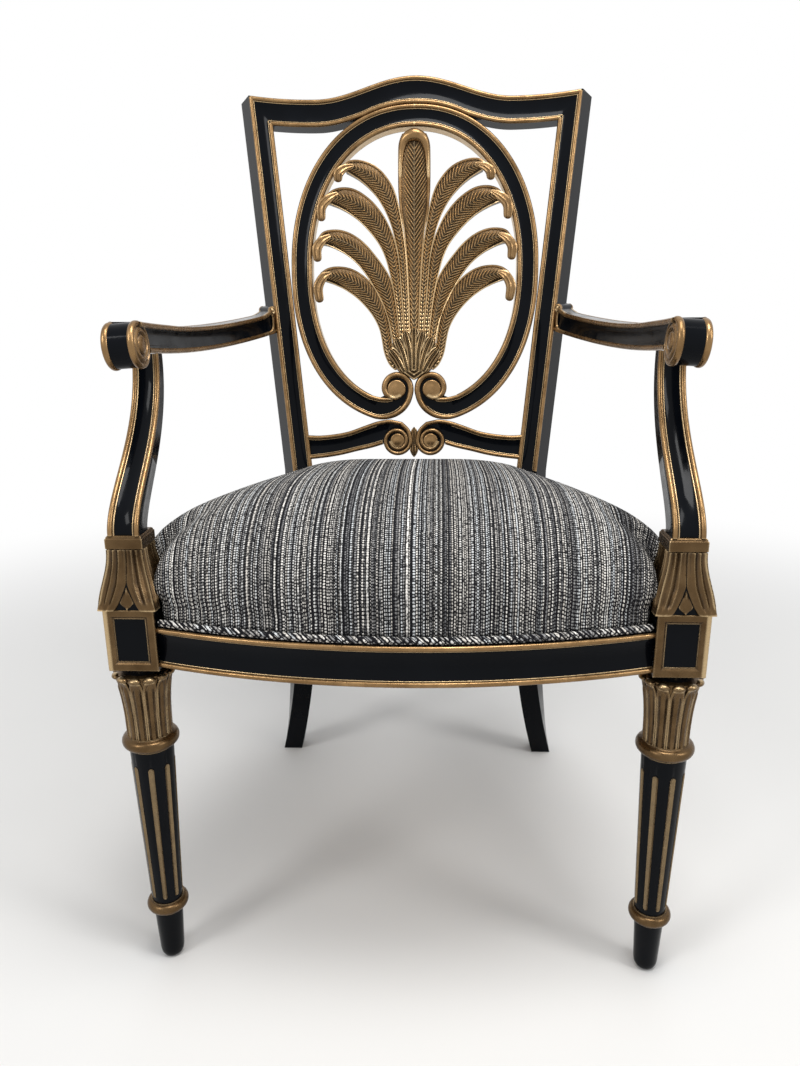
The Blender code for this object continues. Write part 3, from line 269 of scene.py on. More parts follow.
def new_tree(name, inputs):
    """An empty node tree for a repeated or swept form, with named inputs."""
    tree = bpy.data.node_groups.new(name, "GeometryNodeTree")
    tree.interface.new_socket("Geometry", in_out="INPUT", socket_type="NodeSocketGeometry")
    for label, kind in inputs:
        tree.interface.new_socket(label, in_out="INPUT", socket_type="NodeSocket" + kind)
    tree.interface.new_socket("Geometry", in_out="OUTPUT", socket_type="NodeSocketGeometry")
    return tree, tree.nodes.new("NodeGroupInput").outputs, tree.nodes.new("NodeGroupOutput").inputs


def finish_tree(tree, geometry, finish, output):
    whole = add_node(tree, "GeometryNodeRealizeInstances", None, Geometry=geometry).outputs[0]
    coated = add_node(tree, "GeometryNodeSetMaterial", None, Geometry=whole, Material=finish).outputs[0]
    tree.links.new(coated, output["Geometry"])


def grown(tree, mesh, values):
    """The plain mesh that a tree makes from a mesh."""
    holder = placed(tree.name, mesh)
    modifier = holder.modifiers.new(tree.name, "NODES")
    modifier.node_group = tree
    for item in tree.interface.items_tree:
        if item.in_out == "INPUT" and item.name in values:
            modifier[item.identifier] = values[item.name]
    graph = bpy.context.evaluated_depsgraph_get()
    made = bpy.data.meshes.new_from_object(holder.evaluated_get(graph))
    bpy.data.objects.remove(holder)
    return made


def ring_of_copies():
    """Copies of one carved form at equal turns round an upright axis."""
    inputs = [("Count", "Int"), ("Centre", "Vector"), ("Finish", "Material")]
    tree, given, output = new_tree("ring_of_copies", inputs)
    points = add_node(tree, "GeometryNodePoints", None, Count=given["Count"], Position=given["Centre"])
    number = add_node(tree, "GeometryNodeInputIndex").outputs[0]
    turn = maths(tree, "MULTIPLY", maths(tree, "DIVIDE", number, given["Count"]), 2 * pi)
    angle = add_node(tree, "ShaderNodeCombineXYZ", None, Z=turn).outputs[0]
    forms = {"Points": points.outputs[0], "Instance": given["Geometry"], "Rotation": angle}
    copies = add_node(tree, "GeometryNodeInstanceOnPoints", None, **forms)
    finish_tree(tree, copies.outputs[0], given["Finish"], output)
    return tree


ring_tree = ring_of_copies()


def shaft_radius(z):
    (low_r, low_z), (high_r, high_z) = leg_shaft.foot, leg_shaft.top
    return low_r + (high_r - low_r) * (z - low_z) / (high_z - low_z)


def flute_width(z):
    """Share of the flute's full width at a height, rounded at both ends."""
    reach = shaft_radius(z) * leg_flute.half_angle
    short = max(leg_flute.low + reach - z, z - leg_flute.high + reach, 0.0) / reach
    return sqrt(max(1 - short**2, 0.0))


def flute_heights(count):
    """Heights along a flute, close together where its ends turn."""
    middle = (leg_flute.low + leg_flute.high) / 2
    reach = (leg_flute.high - leg_flute.low) / 2 - 0.00005
    return [middle - reach * cos(pi * k / count) for k in range(count + 1)]


def shaft_ring(centre, z):
    """The shaft's section with its flutes cut in."""
    points = []
    step = 2 * pi / leg_flute.count
    half = leg_flute.half_angle
    radius = shaft_radius(z)
    width = flute_width(z)
    for number in range(leg_flute.count):
        for place in (-1.0, -0.8, -0.5, 0.0, 0.5, 0.8, 1.0, 1.9, 3.22, 4.5):
            cut = max(1 - (place / max(width, 0.01)) ** 2, 0.0) if width > 0.02 else 0.0
            a = number * step + leg_flute.first + place * half
            r = radius - leg_flute.depth * width * cut
            points.append((centre[0] + r * cos(a), centre[1] + r * sin(a), z))
    return points


def flute_lining():
    """The gilded hollow of the first flute, round an axis at the origin."""
    rings = []
    for z in flute_heights(26):
        width = max(flute_width(z), 0.05)
        front = []
        behind = []
        for u in (-1.0, -0.86, -0.6, -0.3, 0.0, 0.3, 0.6, 0.86, 1.0):
            a = leg_flute.first + u * width * leg_flute.half_angle * 1.08
            r = shaft_radius(z) + 0.00035 - leg_flute.depth * width * (1 - u * u)
            front.append((r * cos(a), r * sin(a), z))
            behind.append(((r - 0.0009) * cos(a), (r - 0.0009) * sin(a), z))
        rings.append(front + behind[::-1])
    return skin_of(rings, "flute_lining")


def capital_radius(share):
    return leg_capital.neck + (leg_capital.lip - leg_capital.neck) * share**2.6


def capital_petal():
    """One rounded petal of the capital, hollowed along its edge, facing the front."""
    half_angle = pi / leg_capital.count * 1.04
    turn = 0.74
    rings = []
    for k in range(23):
        v = sin(pi / 2 * k / 22)
        cap = max((v - turn) / (1 - turn), 0.0)
        width = max((0.90 + 0.10 * min(v / turn, 1.0)) * sqrt(1 - cap**2), 0.10)
        z = leg_capital.low + (leg_capital.high + 0.0006 - leg_capital.low) * v
        curl = 0.0012 * max((v - 0.80) / 0.20, 0.0) ** 2
        front = []
        behind = []
        for n in range(17):
            u = n / 8 - 1
            edge = sqrt((u * width) ** 2 + cap**2)
            relief = 0.0013 * (1 - edge**4) - 0.0021 * exp(-(((edge - 0.52) / 0.17) ** 2))
            a = -pi / 2 + u * width * half_angle
            r = capital_radius(v) + relief - 0.0004 + curl
            front.append((r * cos(a), r * sin(a), z))
            inner = capital_radius(v) - 0.0032
            behind.append((inner * cos(a), inner * sin(a), z))
        rings.append(front + behind[::-1])
    bm = bmesh.new()
    add_skin(bm, rings)
    lip = Matrix.Translation((0, 0.0018 - leg_capital.lip, leg_capital.high - 0.0016))
    lip = lip @ Matrix.Diagonal((0.0068, 0.0044, 0.0032, 1.0))
    bmesh.ops.create_uvsphere(bm, u_segments=16, v_segments=9, radius=1.0, matrix=lip)
    return mesh_of(bm, "capital_petal")


def half_round(radius, root, z, half):
    """Closed section of a turned ring with a fine fillet above and below."""
    points = [(root - 0.002, z - half), (root + 0.0012, z - half), (root + 0.0012, z - half * 0.86)]
    for k in range(11):
        a = pi * (k / 10 - 0.5)
        points.append((root + (radius - root) * (0.25 + 0.75 * cos(a)), z + half * 0.78 * sin(a)))
    return points + [(root + 0.0012, z + half * 0.86), (root + 0.0012, z + half), (root - 0.002, z + half)]


def panel_frame(bm, centre, across, up, out, half_width, half_height):
    """A gilt frame standing round a sunk panel."""
    width = leg_block.frame
    sink = leg_block.sink
    section = (
        (0.0004, -0.0030),
        (0.0004, -0.0006),
        (0.0010, 0.0),
        (width - 0.0010, 0.0),
        (width, -0.0007),
        (width + 0.0016, -sink),
        (width + 0.0024, -sink + 0.0004),
        (width + 0.0030, -sink - 0.0006),
        (width + 0.0030, -0.0046),
        (0.0020, -0.0046),
    )
    rings = []
    for inset, lift in section:
        w, h = half_width - inset, half_height - inset
        rings.append([centre + across * (w * x) + up * (h * y) + out * lift for x, y in square])
    add_skin(bm, rings, closed=True)


for name, side in sides:
    centre = Vector((side * leg_x, leg_y, 0))
    bm = bmesh.new()
    foot = [(0.0045, 0.0), (0.0078, 0.0005), (0.0103, 0.0022), (0.0120, 0.0055), (0.0128, 0.0105)]
    turned(bm, centre, foot + [(0.0152, 0.0620), (0.0160, 0.0700), (0.0150, 0.0764)], 48)
    heights = [leg_shaft.foot[1] - 0.001] + flute_heights(40) + [leg_shaft.top[1] + 0.001]
    add_skin(bm, [shaft_ring(centre, z) for z in heights])
    neck = [(0.0198, 0.2660), (0.0196, 0.3480), (0.0212, 0.3492), (0.0212, 0.3560), (0.0222, 0.3584)]
    turned(bm, centre, neck, 48)
    half = leg_block.side / 2 - 0.0010
    heights = (leg_block.bottom, leg_block.top)
    block = [[centre + Vector((half * x, half * y, z)) for x, y in square] for z in heights]
    start = len(bm.faces)
    add_skin(bm, block)
    bmesh.ops.recalc_face_normals(bm, faces=bm.faces)
    bm.faces.ensure_lookup_table()
    for face in list(bm.faces)[start:]:
        if face.normal.y < -0.9 or face.normal.x * side > 0.9:
            bmesh.ops.inset_region(bm, faces=[face], thickness=leg_block.frame - 0.0004)
            bmesh.ops.inset_region(bm, faces=[face], thickness=0.0016, depth=-leg_block.sink + 0.0008)
    lacquered(bm, "front_leg_black_" + name, "front_leg_" + name)

    bm = bmesh.new()
    turned(bm, centre, half_round(0.0221, 0.0160, 0.0698, 0.0072), 64, closed=True)
    turned(bm, centre, half_round(0.0288, 0.0216, 0.2724, 0.0078), 64, closed=True)
    core = [(capital_radius(v / 8) - 0.0022, leg_capital.low + 0.0695 * v / 8) for v in range(9)]
    turned(bm, centre, [(0.0200, 0.2780)] + core + [(0.0262, 0.3500), (0.0214, 0.3516)], 48)
    middle = centre + Vector((0, 0, (leg_block.bottom + leg_block.top) / 2))
    half = leg_block.side / 2
    tall = (leg_block.top - leg_block.bottom) / 2
    up = Vector((0, 0, 1))
    front = Vector((0, -1, 0))
    outward = Vector((side, 0, 0))
    panel_frame(bm, middle + front * half, Vector((1, 0, 0)), up, front, half, tall)
    panel_frame(bm, middle + outward * half, Vector((0, 1, 0)), up, outward, half, tall)
    # Rings, capital core and panel frames take the legs' darker gilding: painted shade.
    gilded(bm, "front_leg_gilt_" + name, finish=shaded_leg_gilding)

    # The flutes' lining is darkened as painted shade; the petals take the legs' darker gilding, also painted
    # shade.
    copies = {"Centre": centre, "Finish": shaded_leg_gilding}
    flutes = grown(ring_tree, flute_lining(), {**copies, "Count": leg_flute.count})
    gilded(flutes, "front_leg_flutes_" + name, finish=shaded_flute_gilding)
    petals = grown(ring_tree, capital_petal(), {**copies, "Count": leg_capital.count})
    gilded(petals, "front_leg_petals_" + name, finish=shaded_leg_gilding)

# Seat rails: lacquered beech with a hollow along the outer face between two gilded beads. The front
# rail is sawn to a bow; all are tenoned into the leg blocks and the rear posts.
rail = Sizes(low=0.361, high=0.4025, thick=0.024, bow=0.038, set_back=0.0052, bead=0.0027)
rail_half = leg_x - leg_block.side / 2
bow_radius = (rail_half**2 + rail.bow**2) / (2 * rail.bow)
bow_front = leg_y - leg_block.side / 2 + rail.set_back - rail.bow
side_rail_front = leg_x + leg_block.side / 2 - 0.006
side_rail_rear = 0.168
seat_joint_y = leg_y + 0.372


def measure_of(tree, name):
    return add_node(tree, "GeometryNodeInputNamedAttribute", {"data_type": "FLOAT"}, Name=name).outputs[0]


def bead_run():
    """Round beads along every line of a mesh, as thick as the line's thick attribute says."""
    tree, given, output = new_tree("bead_run", [("Sides", "Int"), ("Finish", "Material")])
    line = add_node(tree, "GeometryNodeMeshToCurve", None, Mesh=given["Geometry"]).outputs[0]
    sizes = {"Resolution": given["Sides"], "Radius": 1.0}
    section = add_node(tree, "GeometryNodeCurvePrimitiveCircle", {"mode": "RADIUS"}, **sizes).outputs[0]
    thick = measure_of(tree, "thick")
    bead = add_node(tree, "GeometryNodeCurveToMesh", None, i0=line, i1=section, Scale=thick, i3=True)
    finish_tree(tree, bead.outputs[0], given["Finish"], output)
    return tree


bead_tree = bead_run()


def beads(lines, finish=None, count=12):
    """Mesh of beads; each line is (points, radius or a radius for each point)."""
    points = []
    edges = []
    thick = []
    for path, radius in lines:
        first = len(points)
        points += [tuple(p) for p in path]
        edges += [(first + k, first + k + 1) for k in range(len(path) - 1)]
        thick += list(radius) if hasattr(radius, "__len__") else [radius] * len(path)
    mesh = bpy.data.meshes.new("bead_lines")
    mesh.from_pydata(points, edges, [])
    mesh.attributes.new("thick", "FLOAT", "POINT").data.foreach_set("value", thick)
    return grown(bead_tree, mesh, {"Sides": count, "Finish": finish or gilding})


def clamp(share):
    return min(max(share, 0.0), 1.0)


def cove(share):
    """Depth of a hollowed face at a share of its width, flat under the beads at its edges."""
    return 0.0006 + 0.0026 * sin(pi * clamp((share - 0.15) / 0.70)) ** 0.8


def bow_point(x, inset, z):
    return Vector((x, bow_front + bow_radius - sqrt((bow_radius - inset) ** 2 - x * x), z))


def side_rail_point(side, y, inset, z):
    run = (y - leg_y - leg_block.side / 2) / (seat_joint_y - leg_y - leg_block.side / 2)
    return Vector((side * (side_rail_front + (side_rail_rear - side_rail_front) * run - inset), y, z))


def rail_ring(place):
    """A rail's section; place(inset, z) gives a point at one station."""
    tall = rail.high - rail.low
    face = [place(cove(k / 12), rail.low + tall * k / 12) for k in range(13)]
    return face + [place(rail.thick, rail.high), place(rail.thick, rail.low)]


def bead_and_fillet(bead):
    """Inset from the edge and radius, of a bead and of the fine fillet beside it."""
    return (bead, bead), (2 * bead + 0.0004, 0.0006)


def rail_bead_lines(places):
    """Bead and fine fillet along the top and the bottom of a rail's face."""
    lines = []
    for edge, turn in ((rail.low, 1), (rail.high, -1)):
        for (inset, radius), depth in zip(bead_and_fillet(rail.bead), (0.0004, 0.0010)):
            lines.append(([place(depth, edge + turn * inset) for place in places], radius))
    return lines


stations = [rail_half * (k / 32 - 1) for k in range(65)]
places = [lambda inset, z, x=x: bow_point(x, inset, z) for x in stations]
lacquered(skin_of([rail_ring(place) for place in places]), "front_rail_black", "front_seat_rail")
gilded(beads(rail_bead_lines(places)), "front_rail_beads")
for name, side in sides:
    start = leg_y + leg_block.side / 2
    stations = [start + (seat_joint_y - start) * k / 16 for k in range(17)]
    places = [lambda inset, z, y=y, s=side: side_rail_point(s, y, inset, z) for y in stations]
    skin = skin_of([rail_ring(place) for place in places])
    lacquered(skin, "side_rail_black_" + name, "side_seat_rail_" + name)
    gilded(beads(rail_bead_lines(places)), "side_rail_beads_" + name)

# Rear posts: sabre leg and raked stile sawn from one plank and lacquered. The stile's face has the
# same hollow between gilded beads, and at the top it turns the mitred corner into the crest.
back_y = leg_y + 0.3835
back_z = 0.4742
back_rake = radians(8.81)
stile = Sizes(
    length=0.5052, foot_x=0.1723, top_x=0.2233, face=0.0285, deep=0.033,
    splay=0.019, undercut=0.0065, seat_x=0.171, bead=0.0028,
)
rear_foot = Sizes(x=0.2165, y=leg_y + 0.433, side=0.029)
crest = Sizes(band=0.0352, deep=0.026, peak=0.0278, peak_half=0.132, end=0.0072)
bead_depth = 0.0006
crest_joint = 0.466


def on_back(x, depth, rise):
    """A point of the raked back: across it, into the wood, and up the slope."""
    y = back_y + rise * sin(back_rake) + depth * cos(back_rake)
    return Vector((x, y, back_z + rise * cos(back_rake) - depth * sin(back_rake)))


def on_face(path, side=1):
    """Points of the back at the depth where its beads lie."""
    return [on_back(side * x, bead_depth, rise) for x, rise in path]


def stile_outer(rise):
    return stile.foot_x + (stile.top_x - stile.foot_x) * rise / stile.length


def stile_inner(rise):
    return stile_outer(rise) - stile.face


def crest_top(x):
    x = abs(x)
    low = stile.length - crest.end
    if x < crest.peak_half:
        return low + crest.peak * (0.5 + 0.5 * cos(pi * x / crest.peak_half))
    return low + crest.end * ((x - crest.peak_half) / (stile.top_x - crest.peak_half)) ** 2


def post_ring(side, front, rear):
    """Front points from the inner to the outer edge, then the rounded rear corners."""
    inner, outer = rear
    ends = ((front[-1], outer, 0.88), (outer, inner, 0.12), (inner, outer, 0.12), (front[0], inner, 0.88))
    corners = [a.lerp(b, share) for a, b, share in ends]
    return [Vector((side * p.x, p.y, p.z)) for p in front + corners]


def leg_section(share):
    """Front and rear points of the sabre leg; share runs from the floor to the seat."""
    sweep = (1 - share) ** 2
    z = (rail.low - 0.018) * share
    x = stile.seat_x + (rear_foot.x - stile.seat_x) * sweep
    y = seat_joint_y + (rear_foot.y - seat_joint_y) * sweep
    return level_section(x, y, z, sweep)


def level_section(x, y, z, sweep):
    face = stile.face + (rear_foot.side - stile.face) * sweep
    deep = stile.deep + (rear_foot.side - stile.deep) * sweep
    shares = [k / 16 for k in range(17)]
    front = [Vector((x - face * (1 - u), y, z)) for u in shares]
    inner = Vector((x - face + stile.undercut * (1 - sweep), y + deep, z))
    return front, (inner, Vector((x + stile.splay * (1 - sweep), y + deep, z)))


def stile_section(share):
    """Front and rear points of the stile; share runs from the seat to the crest's top edge."""
    front = []
    for k in range(17):
        u = k / 16
        rise = share * crest_top(stile.top_x - stile.face * (1 - u))
        x = stile_inner(rise) + stile.face * u
        across = min((1 - u), (crest_top(x) - rise) / crest.band)
        front.append(on_back(x, cove(across) * min(share * 12, 1.0), rise))
    rise = share * stile.length
    inner = on_back(stile_inner(rise) + stile.undercut, stile.deep, rise)
    return front, (inner, on_back(stile_outer(rise) + stile.splay, stile.deep, rise))


def stile_bead_lines(side):
    """Outer and inner beads of a stile, each with its fillet, up to the mitre."""
    lines = []
    for inset, radius in bead_and_fillet(stile.bead):
        top = crest_top(stile.top_x) - inset
        outer = [(stile_outer(top * k / 20) - inset, top * k / 20) for k in range(21)]
        top = crest_top(stile_inner(crest_joint)) - crest.band + inset
        inner = [(stile_inner(top * k / 20) + inset, top * k / 20) for k in range(21)]
        lines += [(on_face(path, side), radius) for path in (outer, inner)]
    return lines


for name, side in sides:
    sections = [leg_section(k / 14) for k in range(15)]
    sections.append(level_section(stile.seat_x, seat_joint_y, rail.high + 0.018, 0.0))
    shares = [k / 30 * 0.90 for k in range(31)] + [0.90 + 0.10 * k / 16 for k in range(1, 17)]
    sections += [stile_section(share) for share in shares]
    skin = skin_of([post_ring(side, *section) for section in sections])
    lacquered(skin, "rear_post_black_" + name, "rear_post_" + name)
    gilded(beads(stile_bead_lines(side)), "stile_beads_" + name)

# Crest rail: a serpentine board dowelled between the stiles, lacquered, with the same hollow and
# gilded beads along its upper and lower edges. Its middle rises over the oval.
hoop = Sizes(
    half_width=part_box("oval_hoop_right")[1].x, foot=0.066, band=0.0285, deep=0.020,
    low_power=2.28, high_power=2.15,
)
hoop.top = stile.length - crest.end + crest.peak - crest.band - 0.0003
hoop.centre = (hoop.top + hoop.foot) / 2
hoop.half_height = (hoop.top - hoop.foot) / 2


def hoop_top(x):
    share = min(abs(x) / hoop.half_width, 1.0)
    power = hoop.high_power
    return hoop.centre + hoop.half_height * (1 - share**power) ** (1 / power)


def crest_under(x):
    return max(crest_top(x) - crest.band, hoop_top(x) + 0.0003 if abs(x) < hoop.half_width else 0.0)


def crest_section(t):
    """Section at a share of the crest's half length, its ends cut to the leaning stiles."""
    top_end = stile_inner(crest_top(stile.top_x - stile.face))
    under_end = stile_inner(crest_top(stile.top_x - stile.face) - crest.band)
    face = []
    for k in range(13):
        v = k / 12
        x = t * (top_end + (under_end - top_end) * v)
        face.append(on_back(x, cove(v), crest_top(x) + (crest_under(x) - crest_top(x)) * v))
    top_x = t * (top_end + stile.undercut * 0.7)
    under_x = t * (under_end + stile.undercut * 0.7)
    return face + [
        on_back(under_x, crest.deep * 0.92, crest_under(under_x) + 0.0002),
        on_back(under_x, crest.deep, crest_under(under_x) + 0.003),
        on_back(top_x, crest.deep, crest_top(top_x) - 0.003),
        on_back(top_x, crest.deep * 0.92, crest_top(top_x) - 0.0002),
    ]


lacquered(skin_of([crest_section(k / 40 - 1) for k in range(81)]), "crest_black", "crest_rail")
lines = []
for inset, radius in bead_and_fillet(stile.bead):
    end = stile_outer(crest_top(stile.top_x)) - inset
    top = [(end * (k / 50 - 1), crest_top(end * (k / 50 - 1)) - inset) for k in range(101)]
    end = stile_inner(crest_top(stile_inner(crest_joint)) - crest.band) + inset
    under = [(end * (k / 50 - 1), crest_under(end * (k / 50 - 1)) + inset) for k in range(101)]
    lines += [(on_face(path), radius) for path in (top, under)]
gilded(beads(lines), "crest_beads")

# Oval hoop: two bent and carved halves joined over the plume, lacquered between gilded beads. Each
# half curls at the foot into a volute, whose bead runs round a groove into a gilded eye.
volute = Sizes(x=0.0246, rise=0.114, eye=0.0132, ribbon=0.0041)
volute_edge = (
    (0.052, 0.0728), (0.042, 0.0722), (0.032, 0.0737), (0.022, 0.0777), (0.0125, 0.0848),
    (0.0055, 0.0945), (0.0018, 0.1050), (0.0005, 0.1155), (0.0039, 0.1273), (0.0127, 0.1356),
    (0.0243, 0.1381), (0.0354, 0.1347), (0.0430, 0.1263), (0.0455, 0.1155), (0.0420, 0.1053),
    (0.0338, 0.0990), (0.0243, 0.0983), (0.0166, 0.1021),
)  # fmt: skip


def hoop_point(angle, inset):
    """A point of the oval at an angle from straight up, set in from its outer edge."""
    power = 2 / (hoop.high_power if cos(angle) > 0 else hoop.low_power)
    x = (hoop.half_width - inset) * sin(angle) ** power
    lift = abs(cos(angle)) ** power
    return x, hoop.centre + copysign((hoop.half_height - inset) * lift, cos(angle))


def smooth_line(points, per_span=6):
    """A smooth line through points of the back's face."""
    points = [Vector(p) for p in points]
    made = []
    for k in range(len(points) - 1):
        a, b, c, d = (points[min(max(k + n, 0), len(points) - 1)] for n in (-1, 0, 1, 2))
        for n in range(per_span):
            t = n / per_span
            bend = b * 2 + (c - a) * t + (a * 2 - b * 5 + c * 4 - d) * t**2 + (b * 3 - a - c * 3 + d) * t**3
            made.append(bend * 0.5)
    return made + [points[-1]]


def toward(points, centre, distance):
    """Points moved towards a centre."""
    centre = Vector(centre)
    return [Vector(p) + (centre - Vector(p)).normalized() * distance for p in points]


def inset_line(points, distances):
    """A line moved to its right by a distance for each point."""
    made = []
    last = len(points) - 1
    for k, (p, distance) in enumerate(zip(points, distances)):
        run = (points[min(k + 1, last)] - points[max(k - 1, 0)]).normalized()
        made.append(p + Vector((run.y, -run.x)) * distance)
    return made


def plate(bm, outline, front, rear):
    """A flat sawn piece of the back, between two depths."""
    add_skin(bm, [[on_back(x, depth, rise) for x, rise in outline] for depth in (front, rear)])


def boss(bm, x, rise, profile, count=40):
    """A carved boss on the back; profile is (radius, depth) from the rim's back to the middle."""
    rings = []
    for radius, depth in profile:
        ring = [(x + radius * cos(a), rise + radius * sin(a)) for a in turns(count)]
        rings.append([on_back(across, depth, up) for across, up in ring])
    add_skin(bm, rings)


def eye_profile(radius):
    """A flat disc with a rounded edge and a slight dome."""
    shares = (0.96, 1.0, 1.0, 0.97, 0.91, 0.82, 0.70, 0.45, 0.20, 0.04)
    depths = (0.0060, 0.0022, 0.0002, -0.0012, -0.0020, -0.0022, -0.0020, -0.0027, -0.0031, -0.0032)
    return [(radius * share, depth) for share, depth in zip(shares, depths)]


hoop_tail, bead_tail = radians(162), radians(158)
oval_points, fillet_points = 97, 127
hoop_edge = [Vector(hoop_point(hoop_tail * k / (oval_points - 1), 0.0)) for k in range(oval_points)]
hoop_edge += smooth_line((hoop_edge[-3], hoop_edge[-1], *volute_edge), 6)[7:]
for name, side in sides:
    rings = []
    for k in range(101):
        angle = hoop_tail * k / 100
        a, b = Vector(hoop_point(angle, 0.0)), Vector(hoop_point(angle, hoop.band))
        ring = [on_back(side * p.x, cove(v / 12), p.y) for v in range(13) for p in [a.lerp(b, v / 12)]]
        for p, depth in ((b, 0.92), (b.lerp(a, 0.1), 1.0), (a.lerp(b, 0.1), 1.0), (a, 0.92)):
            ring.append(on_back(side * p.x, hoop.deep * depth, p.y))
        rings.append(ring)
    bm = bmesh.new()
    add_skin(bm, rings)
    inner = [hoop_point(radians(a), hoop.band - 0.0006) for a in range(162, 152, -2)]
    outer = inset_line(hoop_edge, [0.0006] * len(hoop_edge))[oval_points - 4 : oval_points + 90]
    plate(bm, [(side * x, rise) for x, rise in outer + inner], 0.0030, hoop.deep)
    lacquered(bm, "oval_hoop_black_" + name, "oval_hoop_" + name)

    bead = stile.bead
    lines = []
    wide = [bead + (volute.ribbon - bead) * clamp((k - oval_points) / 30) for k in range(len(hoop_edge))]
    for inset, radius in bead_and_fillet(bead):
        if radius == bead:
            swell = [w * min(1.0, 0.6 + 0.4 * (len(hoop_edge) - k) / 20) for k, w in enumerate(wide)]
            line = inset_line(hoop_edge, wide)
        else:
            swell = [radius] * fillet_points
            line = inset_line(hoop_edge, [2 * w + 0.0004 for w in wide])[:fillet_points]
        lines.append((on_face(line, side), swell))
        line = [hoop_point(bead_tail * k / 90, hoop.band - inset) for k in range(91)]
        foot = ((0.0480, 0.1005), (0.0370, 0.1000), (0.0300, 0.1015))
        line += smooth_line((line[-1], *((x, rise - inset + bead) for x, rise in foot)), 6)[1:]
        lines.append((on_face(line, side), radius))
    bm = bmesh.new()
    bm.from_mesh(beads(lines))
    reveal = []
    for k in range(91):
        ring = []
        for proud, depth in ((-0.0008, 0.0010), (0.0004, 0.0010), (0.0004, 0.0165), (-0.0008, 0.0165)):
            x, rise = hoop_point(bead_tail * k / 90, hoop.band + proud)
            ring.append(on_back(side * x, depth, rise))
        reveal.append(ring)
    add_skin(bm, reveal)
    boss(bm, side * volute.x, volute.rise, eye_profile(volute.eye))
    gilded(bm, "oval_hoop_gilt_" + name)

# Lower back rail: two lacquered cyma halves in one board, tenoned into the stiles. Their gilded beads
# curl into a pair of ringed scrolls over a small pendant, and the oval stands on them.
scroll = Sizes(x=0.0232, rise=0.0427, radius=0.0208, deep=0.024, eye=0.0103)
scroll_turns = (  # degrees turned, radius
    (165, 0.0212), (270, 0.0206), (360, 0.0198), (450, 0.0172), (540, 0.0152), (630, 0.0140), (720, 0.0128)
)  # fmt: skip
upper_edge = (
    (0.1505, 0.0506), (0.134, 0.050), (0.112, 0.052), (0.091, 0.056), (0.071, 0.063), (0.0525, 0.0693),
    (0.039, 0.072), (0.032, 0.0722), (0.0175, 0.0693), (0.007, 0.0597), (0.003, 0.049),
)  # fmt: skip
under_edge = (
    (0.1475, 0.0165), (0.1217, 0.0195), (0.1015, 0.023), (0.081, 0.028), (0.061, 0.0325), (0.0440, 0.0375)
)  # fmt: skip


def even_line(points, count):
    """The same line in equal steps."""
    run = [0.0]
    for a, b in zip(points, points[1:]):
        run.append(run[-1] + (Vector(b) - Vector(a)).length)
    made = []
    place = 0
    for k in range(count):
        want = run[-1] * k / (count - 1)
        while place < len(run) - 2 and run[place + 1] < want:
            place += 1
        share = (want - run[place]) / max(run[place + 1] - run[place], 1e-9)
        made.append(Vector(points[place]).lerp(Vector(points[place + 1]), share))
    return made


bm = bmesh.new()
gilt = bmesh.new()
lines = []
for name, side in sides:
    upper = even_line(smooth_line(upper_edge[:8]), 41)
    under = even_line(smooth_line(under_edge), 41)
    rings = []
    for a, b in zip(upper, under):
        ring = [on_back(side * p.x, cove(v / 10), p.y) for v in range(11) for p in [a.lerp(b, v / 10)]]
        rings.append(ring + [on_back(side * p.x, scroll.deep, p.y) for p in (b, a)])
    add_skin(bm, rings)
    centre = (scroll.x, scroll.rise)
    reach = scroll.radius - 0.0006
    disc = [(side * centre[0] + reach * cos(a), centre[1] + reach * sin(a)) for a in turns(48)]
    plate(bm, disc, 0.0030, scroll.deep)
    lobe = ((0.044, 0.0700), (0.032, 0.0716), (0.0178, 0.0687), (0.0076, 0.0595))
    lobe += ((0.003, 0.048), (0.044, 0.043))
    plate(bm, [(side * x, rise) for x, rise in lobe], 0.0030, scroll.deep)
    bead = stile.bead
    spiral = []
    for k in range(81):
        turn = 165 + 550 * k / 80
        place = sum(turn > stop for stop, _ in scroll_turns[1:-1])
        (low, near), (high, far) = scroll_turns[place], scroll_turns[place + 1]
        r = near + (far - near) * (turn - low) / (high - low) - bead
        a = radians(turn)
        spiral.append((centre[0] + r * cos(a), centre[1] + r * sin(a)))
    line = [(x, rise - bead) for x, rise in smooth_line(upper_edge[:8])]
    line += smooth_line(toward(upper_edge[8:], centre, bead), 5)
    lines.append((on_face(line + spiral[2:], side), bead))
    line = [(x, rise - 2 * bead - 0.0004) for x, rise in smooth_line(upper_edge[:6])]
    lines.append((on_face(line, side), 0.0006))
    for inset, radius in bead_and_fillet(bead):
        line = [(x, rise + inset) for x, rise in smooth_line(under_edge)]
        lines.append((on_face(line, side), radius))
    boss(gilt, side * centre[0], centre[1], eye_profile(scroll.eye))
lacquered(bm, "lower_rail_black", "lower_back_rail")


